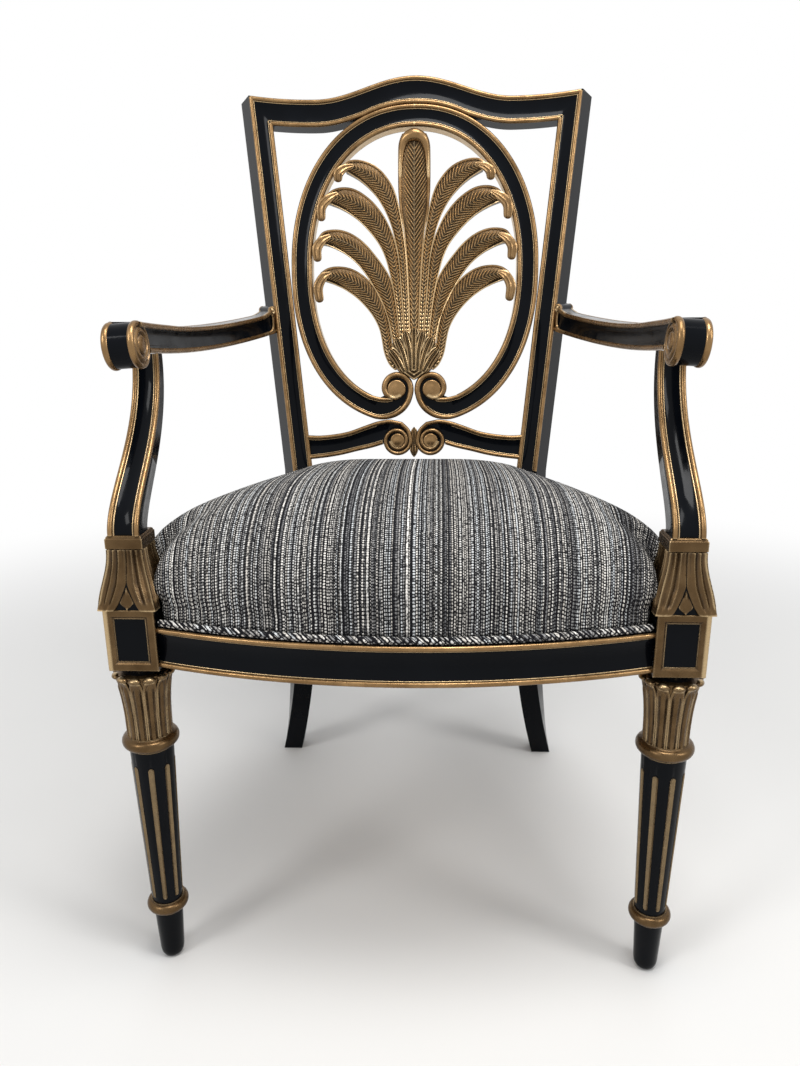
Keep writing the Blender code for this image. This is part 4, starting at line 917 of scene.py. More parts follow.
def leaf(bm, path, half_width, height, full, blunt, sink, count=14):
    """A carved leaf along a line of (x, rise, depth), full to a share of its length, then closing."""
    points = smooth_line(path, count // (len(path) - 1))
    half = ((1.0, 0.0), (0.88, 0.55), (0.70, 0.62), (0.56, 0.28), (0.42, 0.72), (0.26, 0.86), (0.12, 0.58))
    shape = [(-u, lift) for u, lift in half] + [(0.0, 1.0)] + list(half[::-1])
    rings = []
    for k, p in enumerate(points):
        t = k / (len(points) - 1)
        run = points[min(k + 1, len(points) - 1)] - points[max(k - 1, 0)]
        across = Vector((run.y, -run.x)).normalized()
        close = max((t - full) / (1 - full), 0.0)
        swell = max((0.55 + 0.45 * sin(pi * min(t * 1.5, 0.5))) * (1 - close**2.4) ** blunt, 0.06)
        ring = []
        for u, lift in shape:
            q = Vector((p.x, p.y)) + across * u * half_width * swell
            ring.append(on_back(q.x, p.z - height * lift * min(swell + 0.25, 1.0), q.y))
        for u in (1.0, -1.0):
            q = Vector((p.x, p.y)) + across * u * half_width * swell
            ring.append(on_back(q.x, p.z + sink, q.y))
        rings.append(ring)
    add_skin(bm, rings)


pendant = ((0.0, 0.0430, 0.004), (0.0, 0.0290, 0.001), (0.0, 0.0195, 0.003))
leaf(gilt, pendant, 0.0066, 0.0035, 0.2, 1.2, 0.006)
bud = ((0.0, 0.0380, 0.003), (0.0, 0.0520, 0.002), (0.0, 0.0620, 0.003))
leaf(gilt, bud, 0.0070, 0.0025, 0.2, 1.2, 0.006)
gilt.from_mesh(beads(lines))
gilded(gilt, "lower_rail_gilt")

# Plume: nine limewood feathers carved flat behind and rounded in front, with barbs cut to either side
# of a midrib. The tips roll over and hang; gilded over umber and rubbed on the high places. The barbs'
# gilding is brightened as painted highlight, and the ground between them is near-black as painted shade.
feathers = (  # inner edge, outer edge and rolled tip, in millimetres from the middle of the back
    (
        ((6, 178), (7, 210), (8.5, 245), (10.8, 285), (13.5, 312), (17, 335), (21, 358), (29, 383),
         (40, 400), (52, 411), (65, 417), (78, 419.5), (88, 418), (95, 412)),
        ((12, 178), (14.2, 210), (17, 245), (20, 280), (22, 297), (25, 312), (30, 332), (38, 352),
         (49, 370.5), (62, 385), (75, 395.5), (86, 402), (93, 405.5)),
        ((82, 412.5), (94, 409), (102, 402.5), (103, 396)),
    ),
    (
        ((12.8, 178), (15, 210), (17.8, 245), (20.6, 280), (23, 298), (27, 314), (33.5, 331),
         (43, 348.5), (56, 364.5), (71, 376.5), (85, 383), (100, 384), (112, 380), (119, 372)),
        ((19, 178), (22, 205), (25.5, 232), (29.5, 256), (34, 275), (39, 292), (46, 307.5), (57, 323),
         (73, 340), (88, 351.5), (102, 359), (112, 363), (118, 365)),
        ((104, 377), (117, 369.5), (126, 359), (126.5, 345.5)),
    ),
    (
        ((20, 178), (23, 207), (26.5, 234), (30.5, 256), (35, 268), (42, 279.5), (52, 293), (67, 310),
         (83, 322), (98, 328), (112, 329), (124, 326), (130, 318)),
        ((28, 172), (31, 190), (34.5, 206), (39, 219), (45, 233), (53, 249), (65, 269), (79, 286),
         (94, 298), (108, 305.5), (118, 309.5), (125, 311)),
        ((115, 321.5), (126, 315), (133, 304.5), (132.5, 292)),
    ),
    (
        ((22, 143), (27, 152), (30, 165), (31.5, 180), (33.5, 196), (36, 209), (41, 226), (49, 243.5),
         (61, 260), (76, 272), (91, 278.5), (107, 280), (119, 277.5), (128, 271)),
        ((26, 141), (33, 147), (38.5, 157), (42, 168), (44, 180), (47.5, 196), (54.5, 211),
         (65, 225.5), (79, 239.5), (94, 250), (106, 256), (116, 260), (123, 262)),
        ((114, 272), (125, 266.5), (132, 253), (130.5, 237.5)),
    ),
)  # fmt: skip
centre_edge = (
    (5, 176), (6, 200), (7.2, 240), (9.2, 280), (12.5, 320), (16, 343), (18.6, 362), (19.5, 390),
    (19.5, 424), (18.5, 441), (14, 452)
)  # fmt: skip
feather = Sizes(rear=0.013, crown=0.0014, round=0.0040, tip_lift=0.0032, tip_radius=0.0063)
barb = Sizes(pitch=0.0050, lean=radians(42), half_width=0.00130, height=0.0021)

edge_steps = 80
# The barbs take a brighter copy of the gilding with brighter edges: painted highlight.
highlit_barb_gilding = old_gilding("old_gilding_on_barbs", 1.2, 1.7)
# The ground between the barbs and between the sheath's leaves takes a near-black copy: painted shade.
painted_shade_gilding = old_gilding("old_gilding_in_hollows", 0.16, 0.16)


def barb_mesh(bend):
    """One slender barb of unit length, bent over the rounded vane and towards the feather's tip."""
    rings = []
    for x, full in ((0.0, 0.65), (0.2, 1.0), (0.45, 1.0), (0.7, 0.95), (0.9, 0.75), (1.0, 0.35)):
        w = barb.half_width * full
        h = barb.height * full
        y = bend * 0.0016 * x * x
        z = -feather.round * x * x
        shape = ((-1.0, -0.0010), (-0.5, h * 0.7), (0.0, h), (0.5, h * 0.7), (1.0, -0.0010))
        rings.append([(x, y + u * w, z + up) for u, up in shape])
    return skin_of(rings, "barb")


def barbs_along_midrib():
    """Barbs to both sides of each line; near and far say how long and arch how round they are."""
    inputs = [("Pitch", "Float"), ("Lean", "Float"), ("Near Barb", "Object"), ("Far Barb", "Object")]
    tree, given, output = new_tree("barbs_along_midrib", inputs + [("Finish", "Material")])
    line = add_node(tree, "GeometryNodeMeshToCurve", None, Mesh=given["Geometry"]).outputs[0]
    steps = add_node(tree, "GeometryNodeResampleCurve", {"mode": "LENGTH"}, Curve=line, Length=given["Pitch"])
    run = add_node(tree, "GeometryNodeInputTangent").outputs[0]
    axes = {"axis": "X", "pivot_axis": "Z"}
    along = add_node(tree, "FunctionNodeAlignRotationToVector", axes, Vector=run).outputs[0]
    arch = measure_of(tree, "arch")
    joined = add_node(tree, "GeometryNodeJoinGeometry")
    for label, turn in (("Near", 1.0), ("Far", -1.0)):
        lean = maths(tree, "MULTIPLY", given["Lean"], turn)
        angle = add_node(tree, "ShaderNodeCombineXYZ", None, Z=lean).outputs[0]
        local = {"rotation_space": "LOCAL"}
        aim = add_node(tree, "FunctionNodeRotateRotation", local, Rotation=along, i1=angle).outputs[0]
        reach = measure_of(tree, label.lower())
        size = add_node(tree, "ShaderNodeCombineXYZ", None, X=reach, Y=1.0, Z=arch).outputs[0]
        form = add_node(tree, "GeometryNodeObjectInfo", None, Object=given[label + " Barb"])
        forms = {"Points": steps.outputs[0], "Instance": form.outputs["Geometry"]}
        copies = add_node(tree, "GeometryNodeInstanceOnPoints", None, **forms, Rotation=aim, Scale=size)
        tree.links.new(copies.outputs[0], joined.inputs[0])
    finish_tree(tree, joined.outputs[0], given["Finish"], output)
    return tree


barb_tree = barbs_along_midrib()
barb_forms = {}
for label, bend in (("Near Barb", -1), ("Far Barb", 1)):
    barb_forms[label] = placed(label, barb_mesh(bend))


def reach_to(start, aim, edge, most):
    """Distance from a point to an edge line in a direction, up to a limit."""
    nearest = most
    for a, b in zip(edge, edge[1:]):
        along = b - a
        turn = aim.cross(along)
        if abs(turn) > 1e-12:
            distance = (a - start).cross(along) / turn
            place = (a - start).cross(aim) / turn
            if distance > 0 and -0.02 <= place <= 1.02:
                nearest = min(nearest, distance)
    return nearest


def vane_arch(a, b):
    """How round the vane is, as a share: less where it is narrow."""
    return min(max((b - a).length / 0.020, 0.35), 1.0)


def tip_lift(t):
    return feather.tip_lift * max((t - 0.75) / 0.25, 0.0) ** 1.6


def carve_feather(label, bm, ground, left, right, lean, pitch, rims, bare):
    """A vane between its left and right edges with barbs, a midrib, rims and a bare share at its tip."""
    last = len(left) - 1
    lifts = [tip_lift(k / last) for k in range(last + 1)]
    arches = [vane_arch(a, b) for a, b in zip(left, right)]
    midrib = [a.lerp(b, 0.5) for a, b in zip(left, right)]
    runs = [(midrib[min(k + 1, last)] - midrib[max(k - 1, 0)]).normalized() for k in range(last + 1)]
    rings = []
    for a, b, arch, lift in zip(left, right, arches, lifts):
        ring = []
        for n in range(11):
            p = a.lerp(b, n / 10)
            ring.append(on_back(p.x, feather.crown + feather.round * arch * (n / 5 - 1) ** 2 - lift, p.y))
        rings.append(ring + [on_back(p.x, feather.rear, p.y) for p in (b, a)])
    add_skin(ground, rings)

    reaches = {"near": [], "far": [], "arch": arches}
    for k, (p, run) in enumerate(zip(midrib, runs)):
        most = (right[k] - left[k]).length / 2 / sin(lean) * 1.15
        for measure, turn, edge in (("near", lean, left + right[-1:]), ("far", -lean, right + left[-1:])):
            aim = Matrix.Rotation(turn, 2) @ run
            reaches[measure].append(max(reach_to(p, aim, edge, most) - 0.0003, 0.001))
    mesh = bpy.data.meshes.new("midrib")
    barbed = int(last * (1 - bare))
    points = [(p.x, p.y, lift - feather.crown) for p, lift in zip(midrib, lifts)][: barbed + 1]
    mesh.from_pydata(points, [(k, k + 1) for k in range(barbed)], [])
    for measure, values in reaches.items():
        mesh.attributes.new(measure, "FLOAT", "POINT").data.foreach_set("value", values[: barbed + 1])
    # The barbs take the brighter gilding: painted highlight.
    barbs = grown(barb_tree, mesh, {"Pitch": pitch, "Lean": lean, "Finish": highlit_barb_gilding, **barb_forms})
    for vertex in barbs.vertices:
        vertex.co = on_back(vertex.co.x, -vertex.co.z, vertex.co.y)
    gilded(barbs, "feather_barbs_" + label, finish=highlit_barb_gilding)

    spine = [on_back(p.x, feather.crown - 0.0006 - lift, p.y) for p, lift in zip(midrib, lifts)]
    ground.from_mesh(beads([(spine, 0.0008)], count=8))
    lines = []
    for edge, rim in zip((left, right), rims):
        depths = [feather.crown + feather.round * arch - 0.0004 - lift for arch, lift in zip(arches, lifts)]
        lines.append(([on_back(p.x, depth, p.y) for p, depth in zip(edge, depths)], rim))
    bm.from_mesh(beads(lines, count=8))


def rolled_tip(bm, path, sizes, flat, ripple):
    """A rolled end: rippled round sections along a line of (x, rise, depth), closed by a rounded end."""
    points = smooth_line(path, 6)
    last = len(points) - 1
    rings = []
    for k in range(last + 6):
        turn = radians(15 * max(k - last, 0))
        k = min(k, last)
        run = (points[min(k + 1, last)] - points[max(k - 1, 0)]).normalized()
        across = Vector((run.y, -run.x, 0)).normalized()
        other = run.cross(across)
        place = k / last * (len(sizes) - 1)
        n = min(int(place), len(sizes) - 2)
        radius = sizes[n] + (sizes[n + 1] - sizes[n]) * (place - n)
        middle = points[k] + run * radius * sin(turn)
        ring = []
        for a in turns(36):
            r = radius * cos(turn) * (1 + ripple * cos(9 * a))
            q = middle + across * r * cos(a) + other * r * flat * sin(a)
            ring.append(on_back(q.x, q.z, q.y))
        rings.append(ring)
    add_skin(bm, rings)


for number, (inner, outer, tip) in enumerate(feathers, 1):
    for name, side in sides:
        edges = []
        for edge in (inner, outer):
            line = smooth_line([(side * x / 1000, rise / 1000) for x, rise in edge])
            edges.append(even_line(line, edge_steps + 1))
        thin = [0.0009] * (edge_steps + 1)
        bold = [0.0010 + 0.0010 * max(k / edge_steps - 0.6, 0.0) / 0.4 for k in range(edge_steps + 1)]
        left, right = edges[::side]
        rims = (bold, thin)[::side]
        bm = bmesh.new()
        ground = bmesh.new()
        carve_feather(f"{name}_{number}", bm, ground, left, right, barb.lean, barb.pitch, rims, 0.04)
        depths = (0.0003, -0.0014, -0.0028, -0.0022)
        line = [(side * x / 1000, rise / 1000, depth) for (x, rise), depth in zip(tip, depths)]
        sizes = [feather.tip_radius * share for share in (0.34, 0.76 if number == 1 else 0.92, 1.0, 0.84)]
        rolled_tip(bm, line, sizes, 0.8, 0.11)
        gilded(bm, f"feather_carved_{name}_{number}", f"feather_{name}_{number}")
        # The vane's ground takes the near-black gilding: painted shade.
        gilded(ground, f"feather_ground_{name}_{number}", finish=painted_shade_gilding)

left = even_line(smooth_line([(-x / 1000, rise / 1000) for x, rise in centre_edge]), 91)
right = [Vector((-p.x, p.y)) for p in left]
rim = [0.0009 + 0.0016 * clamp((p.y - 0.330) / 0.05) for p in left]
bm = bmesh.new()
ground = bmesh.new()
carve_feather("centre", bm, ground, left, right, radians(34), 0.0064, (rim, rim), 0.07)
hood = ((0.0188, 0.398, 0.0034), (0.0172, 0.4290, 0.0012), (0.0126, 0.4445, -0.0014), (0.0, 0.4502, -0.0030))
hood = [(-x, rise, depth) for x, rise, depth in hood] + list(hood[2::-1])
rolled_tip(bm, hood, (0.0014, 0.0034, 0.0064, 0.0082, 0.0064, 0.0034, 0.0014), 0.75, 0.0)
gilded(bm, "feather_carved_centre", "feather_centre")
# The centre vane's ground takes the near-black gilding: painted shade.
gilded(ground, "feather_ground_centre", finish=painted_shade_gilding)
for form in barb_forms.values():
    bpy.data.objects.remove(form)

# Sheath: a carved fan of ridged leaves that the feathers grow from, with a ribbed collar below it.
# It is one limewood carving, gilded, glued over the feathers' roots and between the volutes. Its leaves
# are gilded darker with brighter edges, painted shade and painted highlight, over a near-black ground of
# painted shade.
bm = bmesh.new()
ground = bmesh.new()
spread = [radians(a) for a in range(-33, 34, 6)]
fan = [(0.033 * sin(a) / 0.545, 0.118 + 0.060 * cos(a)) for a in spread]
plate(ground, fan + [(0.0235, 0.1405), (0.0055, 0.131), (-0.0055, 0.131), (-0.0235, 0.1405)], 0.0006, 0.016)
blades = (  # tip, root, half width
    (0.0295, 0.1770, 0.0100, 0.138, 0.0055), (0.0185, 0.1880, 0.0065, 0.139, 0.0055),
    (0.0062, 0.1930, 0.0020, 0.140, 0.0055), (0.0338, 0.1690, 0.0130, 0.137, 0.0080),
    (0.0246, 0.1850, 0.0085, 0.138, 0.0080), (0.0124, 0.1935, 0.0045, 0.139, 0.0080),
    (0.0, 0.1990, 0.0, 0.140, 0.0082),
)  # fmt: skip
for tip_x, tip_rise, root_x, root_rise, half_width in blades:
    for side in (-1, 1) if tip_x else (1,):
        root = Vector((side * root_x, root_rise))
        tip = Vector((side * tip_x, tip_rise))
        middle = root.lerp(tip, 0.55) - Vector((side * 0.0022 if tip_x else 0.0, 0.0))
        depth = -0.0006 if half_width < 0.007 else -0.0018
        path = ((*root, depth), (*middle, depth - 0.0012), (*tip, depth - 0.0026))
        leaf(bm, path, half_width, 0.0046, 0.6, 0.5, 0.008)
        curl = ((0.0024, 0.003), (0.0030, -0.001), (0.0028, -0.0030), (0.0018, -0.0044), (0.0003, -0.0050))
        boss(bm, tip.x * 0.965, tip.y - 0.0028, [(radius, depth + lift) for radius, lift in curl], 16)
collar = ((0.0200, 0.1415), (0.0125, 0.1475), (0.0, 0.1525), (-0.0125, 0.1475), (-0.0200, 0.1415))
plate(ground, [*collar, (-0.0040, 0.1290), (0.0040, 0.1290)], -0.0026, 0.010)
lines = [([on_back(p.x, -0.0036, p.y) for p in smooth_line(collar, 6)], 0.0012)]
for k in range(4):
    for side in (-1, 1):
        foot = (0.0, 0.1275 + 0.0060 * k)
        knee = (side * (0.0085 - 0.0015 * k), 0.1335 + 0.0050 * k)
        line = smooth_line((foot, knee, (side * (0.0188 - 0.0045 * k), 0.1420 + 0.0030 * k)), 6)
        taper = [0.0015 - 0.0004 * n / 12 for n in range(13)]
        lines.append(([on_back(p.x, -0.0036, p.y) for p in line], taper))
bm.from_mesh(beads(lines, count=8))
# The sheath's leaves take a darker copy with brighter edges: painted shade and painted highlight.
shaded_highlit_sheath_gilding = old_gilding("old_gilding_on_sheath", 0.80, 1.6)
gilded(bm, "plume_sheath_carved", "plume_sheath", finish=shaded_highlit_sheath_gilding)
gilded(ground, "plume_sheath_ground", finish=painted_shade_gilding)

# Arms: a slender lacquered bar, bowed in plan and dipped along its length, screwed to the stile from
# behind. Gilded beads follow its edges, and a drum-shaped scroll with gilded rims ends it in front.
arm = Sizes(width=0.031, inner_x=0.2455, bow=0.36, top=0.679, thick=0.0265, low_y=0.210, bead=0.0028)
drum = Sizes(y=0.032, z=0.668, radius=0.0222, tilt=radians(4))


def arm_x(y, outward):
    return arm.inner_x - arm.bow * (y - drum.y) ** 2 + outward


def arm_top(y):
    settle = 0.0034 * clamp((0.115 - y) / 0.083) ** 1.5
    return arm.top + (0.42 if y < arm.low_y else 0.29) * (y - arm.low_y) ** 2 - settle


def arm_under(y):
    return arm.top - arm.thick + 0.27 * (y - arm.low_y) ** 2


def arm_end(z, outward):
    """Where a face of the arm meets the outer side of the leaning stile."""
    low = on_back(stile_outer(0.0), 0.0, 0.0)
    up = on_back(stile_outer(stile.length), 0.0, stile.length) - low
    across = on_back(stile_outer(0.0) + stile.splay, stile.deep, 0.0) - low
    normal = up.cross(across).normalized()
    normal *= copysign(1.0, normal.x)
    near, far = drum.y, 0.53
    for _ in range(40):
        y = (near + far) / 2
        outside = normal.dot(Vector((arm_x(y, outward), leg_y + y, z)) - low) > 0.0002
        near, far = (y, far) if outside else (near, y)
    return near


def arm_point(side, share, outward, up):
    """A point of the arm: along it, outward from its inner face, and up from its underside."""
    start = drum.y + 0.002
    middle = start + (arm_end(arm.top, 0.0) - start) * share
    low, high = arm_under(middle), arm_top(middle)
    curl = 0.0095 * max((share - 0.90) / 0.10, 0.0) ** 1.8
    z = low + (high + curl - low) * up
    y = start + (arm_end(z, outward) - start) * share
    return Vector((side * arm_x(y, outward), leg_y + y, z))


def round_axis(start, axis, profile, count=56):
    """Rings round an axis; profile is (distance along it, radius)."""
    across = Vector((0, 1, 0))
    across = (across - axis * across.dot(axis)).normalized()
    other = axis.cross(across)
    return [
        [start + axis * along + (across * cos(a) + other * sin(a)) * radius for a in turns(count)]
        for along, radius in profile
    ]


def drum_rings(side, profile):
    start = Vector((side * arm.inner_x, leg_y + drum.y, drum.z))
    axis = Vector((side * cos(drum.tilt), 0, -sin(drum.tilt)))
    return round_axis(start, axis, profile)


def end_border(bm, side, face):
    """Gilt border closing round the panel's rounded end against the stile; face(depth) is outward."""
    run = arm_end(arm.top, 0.0) - drum.y - 0.002
    stations = [((0.034, 0.17), (0.034, 0.0))]
    for k in range(25):
        a = radians(7.5 * k - 90)
        c, s = cos(a), sin(a)
        m = max(abs(c), abs(s))
        panel = (0.0175 - 0.0100 * c**0.7, 0.5 + 0.33 * copysign(abs(s) ** 0.7, s))
        stations.append((panel, (0.0175 - 0.0175 * c / m, 0.5 + 0.5 * s / m)))
    stations.append(((0.034, 0.83), (0.034, 1.0)))
    section = ((0.0, 0.0040), (0.0, 0.0006), (0.25, -0.0010), (0.6, -0.0012), (1.0, -0.0002), (1.0, 0.0040))
    rings = []
    for panel, edge in stations:
        ring = []
        for t, depth in section:
            away = panel[0] + (edge[0] - panel[0]) * t
            up = panel[1] + (edge[1] - panel[1]) * t
            ring.append(arm_point(side, 1 - away / run, face(depth), up))
        rings.append(ring)
    add_skin(bm, rings)


def end_roll(side):
    """Start, axis and length of the small roll across the arm's upturned rear end."""
    drop = Vector((0, 0, 0.0022))
    inner, outer = (arm_point(side, 0.981, outward, 1.0) - drop for outward in (0.0, arm.width))
    return inner, (outer - inner).normalized(), (outer - inner).length


def arm_ring(side, share):
    """Section with a hollow in both sides and softened edges."""
    w = arm.width
    ring = [arm_point(side, share, cove(k / 8) * 0.8, k / 8) for k in range(9)]
    ring += [arm_point(side, share, outward, 1.0) for outward in (0.003, w - 0.003)]
    ring += [arm_point(side, share, w - cove(1 - k / 8) * 0.8, 1 - k / 8) for k in range(9)]
    return ring + [arm_point(side, share, outward, 0.0) for outward in (w - 0.003, 0.003)]


for name, side in sides:
    bm = bmesh.new()
    add_skin(bm, [arm_ring(side, k / 40) for k in range(41)])
    r, w = drum.radius, arm.width
    barrel = ((0.0030, r * 0.90), (0.0034, r * 0.955), (w - 0.0034, r * 0.955), (w - 0.0030, r * 0.90))
    add_skin(bm, drum_rings(side, barrel))
    start, axis, wide = end_roll(side)
    roll = 0.0054
    barrel = ((0.001, 0.7), (0.001, 0.93), (wide - 0.001, 0.93), (wide - 0.001, 0.7))
    add_skin(bm, round_axis(start, axis, [(along, roll * share) for along, share in barrel], 28))
    lacquered(bm, "arm_black_" + name, "arm_" + name)

    bead = arm.bead
    lines = []
    for outward in (bead * 0.6, w - bead * 0.6):
        for up, first in ((0.085, 0.05), (0.915, 0.0)):
            shares = [first + (0.995 - first) * k / 48 for k in range(49)]
            lines.append(([arm_point(side, share, outward, up) for share in shares], bead))
    bm = bmesh.new()
    bm.from_mesh(beads(lines))
    end_border(bm, side, lambda depth: depth)
    end_border(bm, side, lambda depth: arm.width - depth)
    cap = ((0.0034, 0.03), (0.0034, 0.97), (0.0016, 1.04), (-0.0004, 0.94), (-0.0010, 0.66), (-0.0004, 0.50))
    cap += ((-0.0012, 0.34), (-0.0014, 0.03))
    add_skin(bm, round_axis(start, axis, [(along, roll * share) for along, share in cap], 28))
    add_skin(bm, round_axis(start, axis, [(wide - along, roll * share) for along, share in cap], 28))
    rim = []
    for k in range(13):
        a = pi * k / 12
        rim.append((0.0032 - 0.0034 * cos(a), r * 0.90 + r * 0.115 * sin(a)))
    face = ((-0.0002, 0.84), (0.0012, 0.80), (0.0014, 0.76), (0.0002, 0.72), (-0.0010, 0.64), (-0.0010, 0.56))
    face += ((0.0004, 0.50), (0.0014, 0.47), (0.0014, 0.43), (0.0, 0.40), (-0.0012, 0.34), (-0.0018, 0.18))
    face += ((-0.0019, 0.03),)
    face = [(along, r * share) for along, share in face]
    loop = [(0.0066, r * 0.03), (0.0066, r * 0.80)] + rim[::-1] + face
    add_skin(bm, drum_rings(side, loop))
    add_skin(bm, drum_rings(side, [(w - along, radius) for along, radius in loop]))
    gilded(bm, "arm_gilt_" + name)

# Arm supports: a lacquered shaft swept back to the arm, standing in a gilded collar and a cup of four
# carved leaves on the leg block. Cup, collar and shaft are one piece, pegged at both ends.
cup = Sizes(top=leg_block.top + 0.058, neck=0.031, band=0.0135, band_side=0.036)
shaft = Sizes(width=0.031, top_width=0.027, shift=0.0028, deep=0.028, top_deep=0.015, sweep=0.105)


def cup_half(t):
    """Half width of the cup at a share of its height."""
    ease = 1 - t * t * (3 - 2 * t)
    return (cup.neck + (leg_block.side - cup.neck) * ease**1.1) / 2


def cup_z(t):
    return leg_block.top + (cup.top - leg_block.top) * t


def cup_leaf():
    """A leaf folded round one corner of the cup, its tip curling out over the block."""
    rings = []
    for k in range(25):
        t = k / 24
        half = cup_half(t)
        spread = half * (0.52 + 0.46 * min(t / 0.44, 1.0) ** 0.8)
        flare = 0.0022 * max(1 - t / 0.16, 0.0) ** 1.5
        front = []
        for n in range(25):
            u = n / 12 - 1
            along = abs(u) * spread
            ribs = 0.0012 * cos(2 * pi * 3.0 * u) * min(t * 6, 1.0) * (1 - abs(u) ** 6)
            edge = 0.0014 * (1 - u**8)
            out = edge + ribs + flare + 0.0002
            x = half + out if u >= 0 else half - along + out * 0.35
            y = half - along + out * 0.35 if u >= 0 else half + out
            if abs(u) < 0.12:
                x = y = half + out * 0.8
            front.append((x, y, cup_z(t)))
        inner = half - 0.0035
        short = inner - spread * 0.9
        rings.append(front + [(x, y, cup_z(t)) for x, y in ((inner, short), (inner, inner), (short, inner))])
    return skin_of(rings, "cup_leaf")


def cup_dart():
    """The smooth lozenge between two leaves, on the cup's front."""
    rings = []
    for k in range(17):
        t = 0.015 + 0.36 * k / 16
        half = cup_half(t)
        wide = 0.0064 * min(k / 5 + 0.12, (1 - k / 16) / 0.70 + 0.02, 1.0)
        shape = ((-1.0, 0.0), (-0.5, 0.6), (0.0, 1.0), (0.5, 0.6), (1.0, 0.0))
        front = [(u * wide, -half - 0.0002 - 0.0018 * lift, cup_z(t)) for u, lift in shape]
        rings.append(front + [(wide, -half + 0.004, cup_z(t)), (-wide, -half + 0.004, cup_z(t))])
    return skin_of(rings, "cup_dart")


def shaft_front(t):
    """Front of the shaft in y and z, from the collar to the arm."""
    start = Vector((0.002 - cup.band_side / 2, cup.top + cup.band))
    end_y = start.x + shaft.sweep
    end = Vector((end_y, arm_under(end_y) - 0.0003))
    steer = [start, start + Vector((0, 0.040)), end - Vector((0, 0.083)), end]
    while len(steer) > 1:
        steer = [a.lerp(b, t) for a, b in zip(steer, steer[1:])]
    return steer[0]


def shaft_point(side, t, across, deep):
    """A point of the shaft: up it, across it from the inner side, and behind its front."""
    width = shaft.width + (shaft.top_width - shaft.width) * t
    x = leg_x - shaft.width / 2 + shaft.shift * t + across * width
    run = (shaft_front(min(t + 0.01, 1.0)) - shaft_front(max(t - 0.01, 0.0))).normalized()
    p = shaft_front(t) + Vector((run.y, -run.x)) * deep
    if t == 1.0:
        p.y = arm_under(p.x) - 0.0003
    return Vector((side * x, leg_y + p.x, p.y))


for name, side in sides:
    centre = Vector((side * leg_x, leg_y, 0))
    bm = bmesh.new()
    rings = []
    for k in range(41):
        t = k / 40
        deep = shaft.deep + (shaft.top_deep - shaft.deep) * t
        ring = [shaft_point(side, t, n / 14, cove(n / 14)) for n in range(15)]
        ring += [shaft_point(side, t, 1.0, deep * 0.85), shaft_point(side, t, 0.90, deep)]
        rings.append(ring + [shaft_point(side, t, 0.10, deep), shaft_point(side, t, 0.0, deep * 0.85)])
    add_skin(bm, rings)
    rings = []
    for k in range(9):
        half = cup_half(k / 8) - 0.0006
        rings.append([centre + Vector((x * half, y * half, cup_z(k / 8))) for x, y in square])
    add_skin(bm, rings)
    lacquered(bm, "arm_support_black_" + name, "arm_support_" + name)

    bead = 0.0026
    lines = []
    for inset, radius in ((bead, bead), (2 * bead + 0.0009, 0.0008)):
        for edge in (inset / shaft.width, 1 - inset / shaft.width):
            lines.append(([shaft_point(side, k / 40, edge, bead_depth) for k in range(41)], radius))
    gilded(beads(lines), "arm_support_beads_" + name)
    bm = bmesh.new()
    band = ((0.004, 0.0), (0.0012, 0.0), (0.0, 0.0012), (0.0, 0.0104), (0.0010, 0.0114), (0.0010, 0.0124))
    rings = []
    for inset, up in band + ((0.0022, 0.0135), (0.004, 0.0135)):
        h = cup.band_side / 2 - inset
        rings.append([centre + Vector((x * h, y * h, cup.top + up)) for x, y in square])
    add_skin(bm, rings)
    # Collar, leaves and darts take the legs' darker gilding: painted shade.
    copies = {"Count": 4, "Centre": centre, "Finish": shaded_leg_gilding}
    bm.from_mesh(grown(ring_tree, cup_leaf(), copies))
    bm.from_mesh(grown(ring_tree, cup_dart(), copies))
    gilded(bm, "arm_support_gilt_" + name, finish=shaded_leg_gilding)

# Seat: foam over a board, drawn tight under a woven cover whose irregular stripes run front to back.
# The cover is stapled under the board; a piped welt of the same cloth closes its lower edge.


